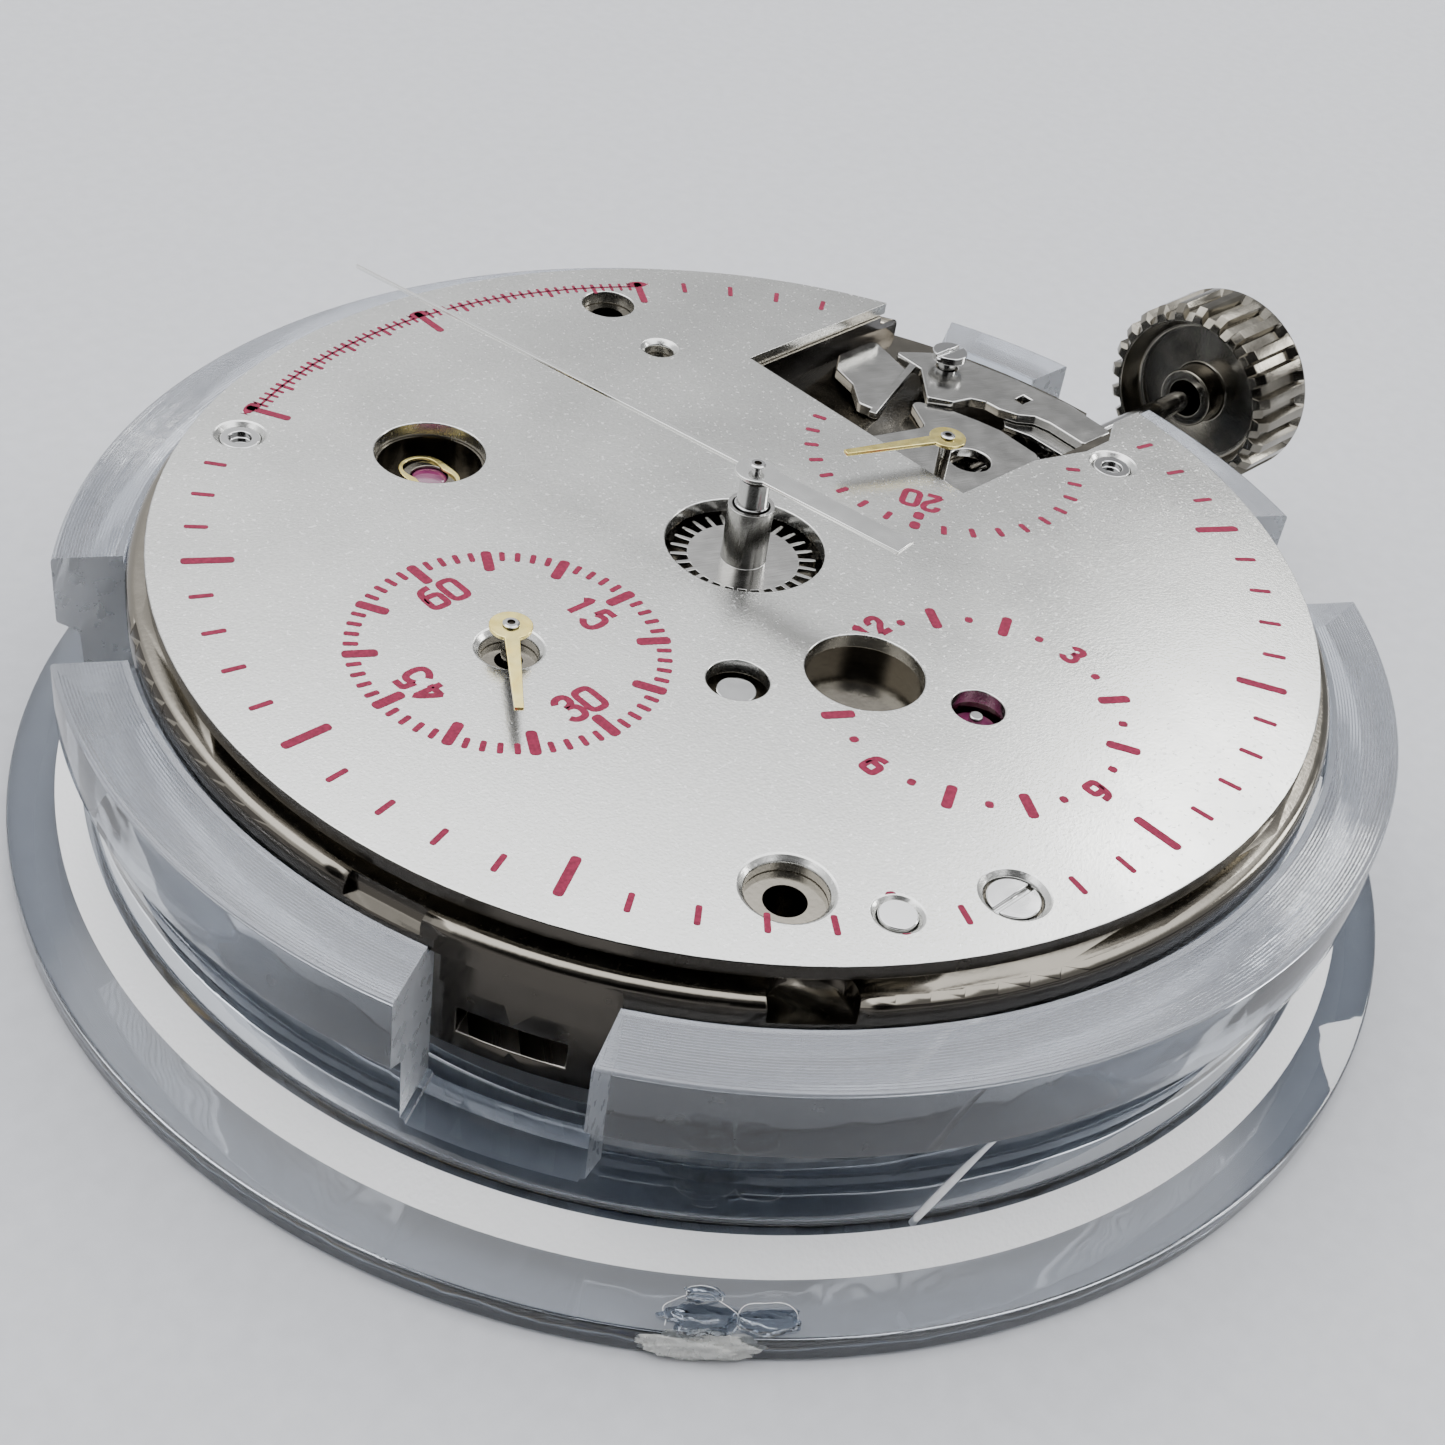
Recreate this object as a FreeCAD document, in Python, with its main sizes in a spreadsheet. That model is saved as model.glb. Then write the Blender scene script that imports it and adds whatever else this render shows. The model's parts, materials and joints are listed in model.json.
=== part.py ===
"""Clear moulded holder with the chronograph movement it carries.

Frame: origin at the centre of the holder's underside, +Z up out of the dial side,
+X towards the crown (3 o'clock) and +Y towards 12 o'clock. All sizes in millimetres.
"""
import FreeCAD, Part
import math
import os
import Sketcher

V = FreeCAD.Vector
doc = FreeCAD.newDocument("MovementHolder")
sheet = doc.addObject("Spreadsheet::Sheet", "Sizes")

DRIVING = {
    # holder: one clear moulding, turned on its top face
    "base_radius": 19.05, "base_edge": 0.8, "foot_radius": 17.8, "foot_low": 1.2,
    "foot_high": 2.0, "waist_radius": 16.95, "waist_high": 4.75, "step_high": 5.1,
    "ring_radius": 17.6, "ring_top": 7.1, "mouth_radius": 15.85, "seat_height": 6.85,
    "bore_radius": 15.45, "ledge_height": 1.2, "ledge_radius": 13.5,
    "notch_width": 4.3, "notch_floor": 2.7, "notch_angle": 29.5,
    "slot_low_side": 0.55, "slot_high_side": 2.7,
    # main plate and dial plate
    "main_low": 5.6, "main_top": 7.9, "body_radius": 15.3, "flange_radius": 15.7,
    "flange_high": 7.65, "rim_round": 0.28, "collar_radius": 14.9,
    "plate_radius": 15.2, "plate_top": 8.3, "recess_floor": 7.0,
    "cut_left": 7.0, "cut_top": 7.05, "cut_low": 1.57,
    # axes: subdial offset, stem height, balance and barrel centres
    "subdial": 7.91, "hour_counter": 8.2, "stem_height": 6.3,
    "balance_left": 4.28, "balance_up": 7.9, "barrel_right": 6.8, "barrel_up": 7.2,
    "crown_wheel_right": 11.8, "crown_wheel_up": 2.6,
    # stem and crown
    "stem_radius": 0.35, "stem_start": 8.7, "crown_face": 20.5, "crown_length": 2.8,
    "crown_radius": 3.1, "crown_face_radius": 2.86,
    # hands and their arbors
    "centre_arbor": 0.3, "centre_lower": 0.2, "centre_top": 10.75, "cannon_radius": 0.45,
    "cannon_top": 10.35, "hand_seat": 0.41, "hour_pipe": 0.61, "hour_pipe_top": 9.55,
    "hour_wheel_sink": 0.3, "centre_hole": 2.12, "counter_arbor": 0.2, "counter_pivot": 0.15,
    "counter_top": 9.0, "hand_thick": 0.1, "centre_hub": 0.57, "counter_hub": 0.53,
    # underside layers
    "bridge_low": 3.6, "bridge_radius": 15.2, "works_low": 2.9, "works_thick": 0.25,
    "cover_low": 2.0, "cover_high": 2.5, "run_gap": 0.05,
}
for row, (alias, number) in enumerate(DRIVING.items(), start=1):
    sheet.set("A%d" % row, alias)
    sheet.set("B%d" % row, repr(number))
    sheet.setAlias("B%d" % row, alias)
doc.recompute()


class Size:
    """A length that remembers the sheet formula it came from."""

    def __init__(self, value, text):
        self.value = value
        self.text = text

    def _join(self, other, value, sign):
        return Size(value, "(%s %s %s)" % (self.text, sign, size(other).text))

    def __add__(self, other):
        return self._join(other, self.value + size(other).value, "+")

    def __sub__(self, other):
        return self._join(other, self.value - size(other).value, "-")

    def __mul__(self, other):
        return self._join(other, self.value * size(other).value, "*")

    def __neg__(self):
        return Size(-self.value, "(0 - %s)" % self.text)


def size(number):
    return number if isinstance(number, Size) else Size(float(number), "%.6g" % number)


class Sheet:
    """S.base_radius is the cell of that name."""

    def __getattr__(self, alias):
        return Size(DRIVING[alias], "Sizes.%s" % alias)


S = Sheet()
nodes = []


def bind(thing, prop, length):
    """Tie a property to the sheet, or to a plain number."""
    thing.setExpression(prop, size(length).text)


def place(thing, x=0, y=0, z=0):
    for axis, length in (("x", x), ("y", y), ("z", z)):
        bind(thing, "Placement.Base." + axis, length)


def node(thing, name):
    thing.Label = name
    nodes.append(thing)
    return thing


# ---------------------------------------------------------------- sketched bodies

def new_body(name):
    return doc.addObject("PartDesign::Body", "Body_" + name)


def new_sketch(body, role, offset=0, turn=0):
    sketch = body.newObject("Sketcher::SketchObject", "Sketch")
    plane = [part for part in body.Origin.OriginFeatures if part.Role == role][0]
    sketch.AttachmentSupport = (plane, "")
    sketch.MapMode = "FlatFace"
    if isinstance(turn, Size) or turn:
        angle = size(turn).value
        sketch.AttachmentOffset = FreeCAD.Placement(V(0, 0, 0), FreeCAD.Rotation(V(0, 0, 1), angle))
        bind(sketch, "AttachmentOffset.Rotation.Angle", turn)
    bind(sketch, "AttachmentOffset.Base.z", offset)
    return sketch


def hold(sketch, geo, point, x, y):
    """Fix one sketch point by its distances from the origin."""
    for kind, length, axis in (("DistanceX", size(x), -2), ("DistanceY", size(y), -1)):
        if abs(length.value) < 1e-9:
            sketch.addConstraint(Sketcher.Constraint("PointOnObject", geo, point, axis))
            continue
        first, second = ((-1, 1), (geo, point))
        if length.value < 0:
            first, second, length = second, first, -length
        index = sketch.addConstraint(Sketcher.Constraint(kind, *first, *second, length.value))
        if "Sizes." in length.text:
            sketch.setExpression("Constraints[%d]" % index, length.text)


def polygon(sketch, corners):
    """A closed outline whose corners are tied to the sheet."""
    corners = [(size(x), size(y)) for x, y in corners]
    count = len(corners)
    first = sketch.GeometryCount
    for i, (x, y) in enumerate(corners):
        end_x, end_y = corners[(i + 1) % count]
        line = Part.LineSegment(V(x.value, y.value, 0), V(end_x.value, end_y.value, 0))
        sketch.addGeometry(line, False)
    for i, (x, y) in enumerate(corners):
        previous = first + (i - 1) % count
        sketch.addConstraint(Sketcher.Constraint("Coincident", previous, 2, first + i, 1))
        hold(sketch, first + i, 1, x, y)


def circle(sketch, x, y, radius):
    radius = size(radius)
    centre = V(size(x).value, size(y).value, 0)
    geo = sketch.addGeometry(Part.Circle(centre, V(0, 0, 1), radius.value), False)
    if centre.Length < 1e-9:
        sketch.addConstraint(Sketcher.Constraint("Coincident", geo, 3, -1, 1))
    else:
        hold(sketch, geo, 3, x, y)
    index = sketch.addConstraint(Sketcher.Constraint("Radius", geo, radius.value))
    if "Sizes." in radius.text:
        sketch.setExpression("Constraints[%d]" % index, radius.text)


def turned(name, profile, axis="V_Axis", x=0, y=0, z=0):
    """A body of revolution: profile is (radius, height), or (along, radius) about H_Axis."""
    body = new_body(name)
    sketch = new_sketch(body, "XZ_Plane")
    polygon(sketch, profile)
    turn = body.newObject("PartDesign::Revolution", "Turn")
    turn.Profile = sketch
    turn.ReferenceAxis = (sketch, [axis])
    turn.Angle = 360
    place(body, x, y, z)
    return node(body, name)


def pad(body, low, high, outline=(), circles=(), role="XY_Plane"):
    sketch = new_sketch(body, role, low)
    if outline:
        polygon(sketch, outline)
    for x, y, radius in circles:
        circle(sketch, x, y, radius)
    feature = body.newObject("PartDesign::Pad", "Pad")
    feature.Profile = sketch
    bind(feature, "Length", size(high) - low)
    return feature


def pocket(body, low, high, outline=(), circles=(), turn=0):
    """Cut upwards from low to high, and stop if nothing is cut."""
    doc.recompute()
    before = body.Shape.Volume
    sketch = new_sketch(body, "XY_Plane", low, turn)
    if outline:
        polygon(sketch, outline)
    for x, y, radius in circles:
        circle(sketch, x, y, radius)
    feature = body.newObject("PartDesign::Pocket", "Pocket")
    feature.Profile = sketch
    feature.Reversed = True
    bind(feature, "Length", size(high) - low)
    doc.recompute()
    if body.Shape.Volume > before - 1e-4:
        raise RuntimeError("a pocket in %s cut nothing" % body.Label)
    return feature


def round_edges(body, radius, wanted, kind="Fillet"):
    doc.recompute()
    tip = body.Tip
    names = ["Edge%d" % (i + 1) for i, edge in enumerate(tip.Shape.Edges) if wanted(edge)]
    if not names:
        raise RuntimeError("no edge to round in %s" % body.Label)
    feature = body.newObject("PartDesign::" + kind, kind)
    feature.Base = (tip, names)
    bind(feature, "Radius" if kind == "Fillet" else "Size", radius)
    return feature


def circle_edge(radius, height):
    def wanted(edge):
        curve = edge.Curve
        same = hasattr(curve, "Radius") and abs(curve.Radius - size(radius).value) < 1e-4
        return same and abs(edge.BoundBox.ZMin - size(height).value) < 1e-4 and edge.BoundBox.ZLength < 1e-4
    return wanted


# ---------------------------------------------------------------- primitive pieces

def cylinder(radius, low, high, x=0, y=0):
    thing = doc.addObject("Part::Cylinder", "Cylinder")
    bind(thing, "Radius", radius)
    bind(thing, "Height", size(high) - low)
    place(thing, x, y, low)
    return thing


def box(x, y, z, turn=0):
    """Block from (low, high) pairs, turned about Z at the origin."""
    thing = doc.addObject("Part::Box", "Box")
    for prop, (low, high) in zip(("Length", "Width", "Height"), (x, y, z)):
        bind(thing, prop, size(high) - low)
    if turn:
        spin = FreeCAD.Rotation(V(0, 0, 1), turn)
        corner = spin.multVec(V(size(x[0]).value, size(y[0]).value, size(z[0]).value))
        thing.Placement = FreeCAD.Placement(corner, spin)
    else:
        place(thing, x[0], y[0], z[0])
    return thing


def combine(kind, base, *tools):
    """Part::Cut, Part::Fuse or Part::Common of document objects."""
    for tool in tools:
        feature = doc.addObject("Part::" + kind, kind)
        feature.Base = base
        feature.Tool = tool
        base = feature
    return base


def solids(name, *things):
    """Several loose solids kept in one node."""
    group = doc.addObject("Part::Compound", "Group")
    group.Links = list(things)
    return node(group, name)


def slab(corners, low, high):
    """A straight-sided flat piece from a corner list."""
    body = new_body("slab")
    pad(body, low, high, outline=corners)
    return body


# ---------------------------------------------------------------- gears

SHORT_TOOTH = (1.15, 0.8, 0.30, 0.20, 0.09)
LONG_TOOTH = (2.2, 1.4, 0.19, 0.16, 0.10)
PINION_TOOTH = (1.5, 1.4, 0.19, 0.16, 0.10)


def gear_shape(teeth, module, low, high, bore, phase=0.0, spokes=0, form=SHORT_TOOTH):
    """A watch wheel: tapered teeth on a rim, thinned for backlash.

    form holds the depth below and height above the pitch line in modules, then the tooth's
    half width at root, pitch line and tip as shares of the tooth step.
    """
    below, above, root_share, pitch_share, tip_share = form
    pitch = module * teeth / 2
    root, tip = pitch - below * module, pitch + above * module
    step = 2 * math.pi / teeth
    points = []
    for tooth in range(teeth):
        middle = phase + tooth * step
        for share, radius in ((-root_share, root), (-pitch_share, pitch), (-tip_share, tip),
                              (tip_share, tip), (pitch_share, pitch), (root_share, root)):
            angle = middle + share * step
            points.append(V(radius * math.cos(angle), radius * math.sin(angle), low))
    rim = Part.Face(Part.makePolygon(points + points[:1]))
    wheel = rim.extrude(V(0, 0, high - low))
    wheel = wheel.cut(Part.makeCylinder(bore, high - low, V(0, 0, low)))
    if spokes:
        inner, outer = bore + 2.2 * module + 0.25, root - 2.2 * module
        ring = Part.makeCylinder(outer, high - low, V(0, 0, low))
        ring = ring.cut(Part.makeCylinder(inner, high - low, V(0, 0, low)))
        width = max(0.25, 0.11 * outer)
        for arm in range(spokes):
            bar = Part.makeBox(outer + 1, width, high - low, V(0, -width / 2, low))
            bar.rotate(V(0, 0, 0), V(0, 0, 1), 360 * arm / spokes + 10)
            ring = ring.cut(bar)
        wheel = wheel.cut(ring)
    return wheel


def shaped(name, shape, x=0, y=0, z=0):
    thing = doc.addObject("Part::Feature", "Shape_" + name)
    thing.Shape = shape
    place(thing, x, y, z)
    return node(thing, name)


def mesh_phase(teeth_followed, phase_followed, direction, teeth):
    """Turn of a wheel so its gap faces the tooth of the wheel it meets along direction."""
    step = 2 * math.pi / teeth_followed
    nearest = (direction - phase_followed) / step
    offset = (nearest - round(nearest)) * step
    return direction + math.pi + math.pi / teeth + offset * teeth_followed / teeth


# ================================================================ holder

def make_holder():
    body = turned("holder_ring", [
        (S.ledge_radius, 0), (S.base_radius, 0), (S.base_radius, S.base_edge),
        (S.foot_radius, S.foot_low), (S.waist_radius, S.foot_high),
        (S.waist_radius + 0.1, S.waist_high), (S.ring_radius, S.step_high),
        (S.ring_radius, S.ring_top), (S.mouth_radius, S.ring_top),
        (S.mouth_radius, S.seat_height), (S.bore_radius, S.seat_height),
        (S.bore_radius, S.ledge_height), (S.ledge_radius, S.ledge_height)])
    half = S.notch_width * 0.5
    notch = [(14, -half), (19, -half), (19, half), (14, half)]
    top = S.ring_top + 1
    for turn in (S.notch_angle, -S.notch_angle, -S.notch_angle + 180, S.notch_angle + 180):
        pocket(body, S.notch_floor, top, outline=notch, turn=turn)
    slot = [(14, -S.slot_low_side), (19, -S.slot_low_side), (19, S.slot_high_side), (14, S.slot_high_side)]
    pocket(body, S.notch_floor, top, outline=slot)


# ================================================================ plates

DIAL_HOLES = [                      # x, y, radius through the dial plate
    (-S.subdial, 0, 0.72),          # small seconds
    (-S.balance_left, S.balance_up, 1.5),
    (-1.31, -5.63, 1.5),
    (-4.16, -4.07, 0.78),
    (0.02, -S.hour_counter, 0.66),
    (-8.26, -9.9, 0.95),            # dial foot at 7
    (5.43, 11.74, 0.8),             # dial foot at 1
    (5.0, 8.9, 0.42),
    (-4.29, -13.01, 0.68),          # screw
    (-6.86, -11.88, 0.46),          # flush stud
    (-8.03, 11.28, 0.55),           # faceted rivets
    (12.03, -2.99, 0.55),
]
CUT = [(S.cut_left, -S.cut_low), (S.cut_left, S.cut_top), (17, S.cut_top + 0.35), (17, -S.cut_low + 0.05),
       (13.95, -S.cut_low + 0.05), (13.0, -S.cut_low - 0.53), (11.9, -S.cut_low - 0.53), (10.15, -S.cut_low)]
MOTION_OFFSET = 1.567               # minute wheel axis, the same on X and Y
RECESS = [(S.cut_left + 0.1, -S.cut_low + 0.1), (S.cut_left + 0.1, S.cut_top - 0.1), (17, S.cut_top + 0.25),
          (17, -S.cut_low + 0.1)]


def make_main_plate():
    body = turned("main_plate", [
        (0, S.main_low), (S.body_radius, S.main_low), (S.body_radius, S.seat_height),
        (S.flange_radius, S.seat_height), (S.flange_radius, S.flange_high),
        (S.collar_radius, S.flange_high), (S.collar_radius, S.main_top), (0, S.main_top)])
    round_edges(body, S.rim_round, circle_edge(S.flange_radius, S.flange_high))
    over = S.main_top + 1
    pocket(body, S.recess_floor, over, outline=RECESS)
    # slot for the clutch and winding pinion, and the stem's own channel to the rim
    pocket(body, S.main_low - 1, over, outline=[(9.3, -0.9), (12.7, -0.9), (12.7, 0.9), (9.3, 0.9)])
    pocket(body, S.stem_height - S.stem_radius - 0.1, over,
           outline=[(8.5, -0.5), (17, -0.5), (17, 0.5), (8.5, 0.5)])
    # motion-work recesses, then the sinks seen through the dial plate
    pocket(body, S.main_top - 0.7, over, circles=[(0, 0, S.centre_hole)])
    pocket(body, S.main_top - 1.3, over, circles=[(MOTION_OFFSET, MOTION_OFFSET, 1.9)])
    pocket(body, S.main_top - 1.3, over, circles=[(0, 0, 0.85)])
    pocket(body, S.main_top - 0.55, over, circles=[
        (-1.31, -5.63, 1.6), (-4.16, -4.07, 0.85), (0.02, -S.hour_counter, 0.72)])
    pocket(body, S.main_top - 0.9, over, circles=[(-S.balance_left, S.balance_up, 1.42)])
    pocket(body, S.main_low - 1, over, circles=[
        (0, 0, 0.6), (-S.subdial, 0, 0.35), (S.subdial, 0, 0.35), (0.02, -S.hour_counter, 0.2),
        (-S.balance_left, S.balance_up, 0.75), (-8.26, -9.9, 0.5), (5.43, 11.74, 0.5),
        (-4.29, -13.01, 0.35)])
    # case-screw sink and its half-round shoulder on the rim, and the slot beside it
    pocket(body, S.seat_height + 0.25, over, circles=[(-9.55, -12.1, 1.0)])
    pocket(body, S.seat_height + 0.3, over, turn=-163,
           outline=[(15.35, -1.0), (17, -1.0), (17, 1.0), (15.35, 1.0)])


def make_dial_plate():
    body = new_body("dial_plate")
    pad(body, S.main_top, S.plate_top, circles=[(0, 0, S.plate_radius)])
    pocket(body, S.main_top - 1, S.plate_top + 1, outline=CUT)
    pocket(body, S.main_top - 1, S.plate_top + 1, circles=DIAL_HOLES)
    pocket(body, S.main_top - 1, S.plate_top + 1, circles=[(0, 0, S.centre_hole)])
    bevels = (0.72, 0.95, 0.68, 0.46, 0.55, 0.42)

    def bevelled(edge):
        return any(circle_edge(radius, S.plate_top)(edge) for radius in bevels)
    round_edges(body, 0.14, bevelled, kind="Chamfer")
    node(body, "dial_plate")


def slotted_screw(x, y, low, high, head, head_high, shank, slot=0.16):
    """Cheese-head screw standing on its shank, slot cut across the head."""
    top = size(high)
    screw = combine("Fuse", cylinder(head, top - head_high, top, x, y),
                    cylinder(shank, low, top - head_high, x, y))
    half = slot / 2
    groove = box((size(x) - head - 0.1, size(x) + head + 0.1), (size(y) - half, size(y) + half),
                 (top - head_high * 0.45, top + 0.1))
    return combine("Cut", screw, groove)


def make_plate_fittings():
    node(slotted_screw(-4.29, -13.01, S.main_low + 0.4, S.plate_top - 0.12, 0.62, 0.28, 0.32),
         "dial_plate_screw")
    rivets = [combine("Cut", cylinder(0.54, S.main_top, S.plate_top - 0.1, x, y),
                      cylinder(0.3, S.plate_top - 0.28, S.plate_top, x, y))
              for x, y in ((-8.03, 11.28), (12.03, -2.99))]
    solids("dial_plate_rivets", *rivets)
    solids("locating_studs",
           cylinder(0.45, S.main_top, S.plate_top - 0.02, -6.86, -11.88),
           cylinder(0.5, S.main_top - 0.55, S.plate_top - 0.3, -4.16, -4.07))
    ring = combine("Cut", cylinder(0.6, S.main_top - 0.55, S.main_top - 0.25, 0.02, -S.hour_counter),
                   cylinder(0.2, S.main_top - 1, S.main_top, 0.02, -S.hour_counter))
    node(ring, "hour_counter_jewel")
    arbor = cylinder(0.17, S.main_low + 0.2, S.main_top + 0.15, 0.02, -S.hour_counter)
    node(arbor, "hour_counter_arbor")


def make_shock_setting():
    x, y = -S.balance_left, S.balance_up
    block = combine("Cut", cylinder(0.74, S.main_low + 0.5, S.main_top - 0.35, x, y),
                    cylinder(0.5, S.main_top - 0.65, S.main_top, x, y))
    node(combine("Cut", block, cylinder(0.2, S.main_low, S.main_top, x, y)), "shock_block")
    node(cylinder(0.48, S.main_top - 0.65, S.main_top - 0.45, x, y), "shock_jewel")
    spring = combine("Cut", cylinder(0.74, S.main_top - 0.35, S.main_top - 0.27, x, y),
                     cylinder(0.4, S.main_top - 1, S.main_top, x, y))
    node(spring, "shock_spring")


# ================================================================ keyless work

def make_keyless_work():
    floor = S.recess_floor
    cover = new_body("keyless_cover")
    pad(cover, floor, floor + 0.3, outline=[
        (7.2, -1.4), (11.4, -1.4), (11.95, -0.42), (12.03, 1.04), (11.86, 1.79), (11.54, 2.81),
        (10.91, 3.86), (10.14, 2.45), (7.2, 3.3)])
    pocket(cover, floor - 1, floor + 1, circles=[(9.89, 0.42, 0.62), (S.subdial, 0, 0.4)])
    round_edges(cover, 0.25, lambda edge: edge.BoundBox.ZLength > 0.2 and edge.BoundBox.XLength < 1e-6
                and edge.BoundBox.YLength < 1e-6 and not hasattr(edge.Curve, "Radius"))
    node(cover, "keyless_cover")

    jumper = new_body("setting_lever_jumper")
    pad(jumper, floor + 0.2, floor + 0.5, outline=[
        (12.4, 5.9), (12.35, 4.7), (11.2, 3.4), (11.7, 2.75), (12.35, 2.6), (12.62, 2.2),
        (12.66, 1.7), (12.9, 1.15), (13.3, 0.8), (13.42, 0.3), (13.37, -1.1), (14.7, -1.1),
        (14.85, 0.6), (14.55, 2.6), (13.9, 4.9)])
    pocket(jumper, floor, floor + 1, outline=[(13.55, 1.5), (14.0, 1.5), (14.0, 1.85), (13.55, 1.85)])
    pocket(jumper, floor, floor + 1, circles=[(13.2, 4.35, 0.35)])
    round_edges(jumper, 0.12, lambda edge: edge.BoundBox.ZLength > 0.2 and edge.BoundBox.XLength < 1e-6
                and edge.BoundBox.YLength < 1e-6 and not hasattr(edge.Curve, "Radius")
                and not 13.5 < edge.BoundBox.XMin < 14.05)
    node(jumper, "setting_lever_jumper")
    node(slotted_screw(13.2, 4.35, floor, S.plate_top - 0.25, 0.55, 0.25, 0.3), "setting_lever_screw")

    train = new_body("minute_train_cover")
    pad(train, floor, floor + 0.35, outline=[
        (12.6, 6.9), (12.1, 5.0), (10.85, 4.5), (9.5, 3.75), (9.3, 4.47), (9.95, 5.35),
        (10.2, 6.3), (10.9, 6.85)])
    round_edges(train, 0.2, lambda edge: edge.BoundBox.ZLength > 0.3 and edge.BoundBox.XLength < 1e-6
                and edge.BoundBox.YLength < 1e-6)
    node(train, "minute_train_cover")
    spring = slab([(12.3, 4.85), (12.22, 5.06), (8.92, 3.72), (9.0, 3.51)], floor + 0.36, floor + 0.56)
    node(spring, "yoke_spring")


# ================================================================ stem and crown

def make_winding():
    start, face = S.stem_start, S.crown_face
    groove = S.stem_radius - 0.12
    turned("winding_stem", [
        (start, 0), (start, 0.2), (9.3, 0.2), (9.3, S.stem_radius), (13.1, S.stem_radius),
        (13.1, groove), (13.6, groove), (13.6, S.stem_radius), (face + 1.4, S.stem_radius),
        (face + 1.4, 0)], axis="H_Axis", z=S.stem_height)
    for name, low, high in (("clutch_wheel", 9.6, 10.9), ("winding_pinion", 11.1, 12.4)):
        shape = gear_shape(14, 0.085, low, high, DRIVING["stem_radius"] + DRIVING["run_gap"])
        shape.rotate(V(0, 0, 0), V(0, 1, 0), 90)
        shaped(name, shape, z=S.stem_height)
    crown = turned("crown", [
        (face, 0.6), (face, 0.95), (face + 0.9, 0.95), (face + 0.9, S.crown_face_radius - 0.5),
        (face, S.crown_face_radius - 0.3), (face, S.crown_face_radius),
        (face + 0.25, S.crown_radius), (face + S.crown_length - 0.5, S.crown_radius),
        (face + S.crown_length, S.crown_radius - 0.6), (face + S.crown_length, 0),
        (face + 1.4, 0), (face + 1.4, S.stem_radius), (face + 0.6, S.stem_radius),
        (face + 0.6, 0.6)], axis="H_Axis", z=S.stem_height)
    sketch = new_sketch(crown, "YZ_Plane", face - 0.2)
    circle(sketch, S.crown_radius + 0.04, 0, 0.27)
    flute = crown.newObject("PartDesign::Pocket", "Flute")
    flute.Profile = sketch
    flute.Reversed = True
    bind(flute, "Length", S.crown_length - 0.15)
    doc.recompute()
    pattern = crown.newObject("PartDesign::PolarPattern", "Flutes")
    pattern.Originals = [flute]
    axis = [part for part in crown.Origin.OriginFeatures if part.Role == "X_Axis"][0]
    pattern.Axis = (axis, [""])
    pattern.Angle = 360
    pattern.Occurrences = 24
    crown.Tip = pattern
    # the lever lies on the recess floor under its jumper, and its pin stands in the stem's groove
    lever = slab([(12.78, -1.1), (12.78, 0.45), (12.5, 1.25), (12.75, 1.5), (13.3, 1.25), (13.85, 0.3),
                  (13.85, -1.1)], S.recess_floor + 0.02, S.recess_floor + 0.17)
    pin = cylinder(0.11, S.stem_height + 0.24, S.recess_floor + 0.1, 13.35, 0)
    node(combine("Fuse", lever, pin), "setting_lever")


# ================================================================ hands and motion work

def needle(name, outline, hub, bore, low, x=0, y=0):
    """A flat hand: straight-sided needle, round hub and a bore for its arbor."""
    body = new_body(name)
    high = low + S.hand_thick
    pad(body, low, high, outline=outline)
    pad(body, low, high, circles=[(0, 0, hub)])
    pocket(body, low - 1, high + 1, circles=[(0, 0, bore)])
    place(body, x, y)
    return node(body, name)


def rotated(points, degrees):
    turn = math.radians(degrees)
    return [(x * math.cos(turn) - y * math.sin(turn), x * math.sin(turn) + y * math.cos(turn))
            for x, y in points]


def make_hands():
    low = S.centre_top - 0.25
    turned("chronograph_arbor", [
        (0, S.cover_high + 0.1), (S.centre_lower, S.cover_high + 0.1),
        (S.centre_lower, S.cannon_top + 0.05), (S.centre_arbor, S.cannon_top + 0.05),
        (S.centre_arbor, low), (0.12, low), (0.12, S.centre_top), (0, S.centre_top)])
    outline = rotated([(0.2, 0.08), (14.2, 0.035), (14.2, -0.035), (0.2, -0.08), (0.2, -0.36),
                       (-4.6, -0.36), (-4.6, 0.36), (0.2, 0.36)], 99.5)
    needle("chronograph_seconds_hand", outline, S.centre_hub, 0.12, low)
    for side, name, degrees, reach in ((-1, "small_seconds", 234.5, 3.1), (1, "minute_counter", 161.5, 3.3)):
        x = S.subdial * side
        top = S.counter_top
        turned(name + "_arbor", [
            (0, S.works_low - 0.2), (S.counter_arbor, S.works_low - 0.2),
            (S.counter_arbor, top - 0.12), (S.counter_pivot, top - 0.12), (S.counter_pivot, top),
            (0, top)], x=x)
        outline = rotated([(0.2, 0.19), (reach, 0.11), (reach, -0.11), (0.2, -0.19),
                           (-0.2, -0.12), (-0.2, 0.12)], degrees)
        needle(name + "_hand", outline, S.counter_hub, S.counter_pivot, top - 0.12, x=x)


HOUR_TEETH, MINUTE_PINION_TEETH, CANNON_TEETH, MINUTE_TEETH = 28, 7, 12, 36


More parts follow.
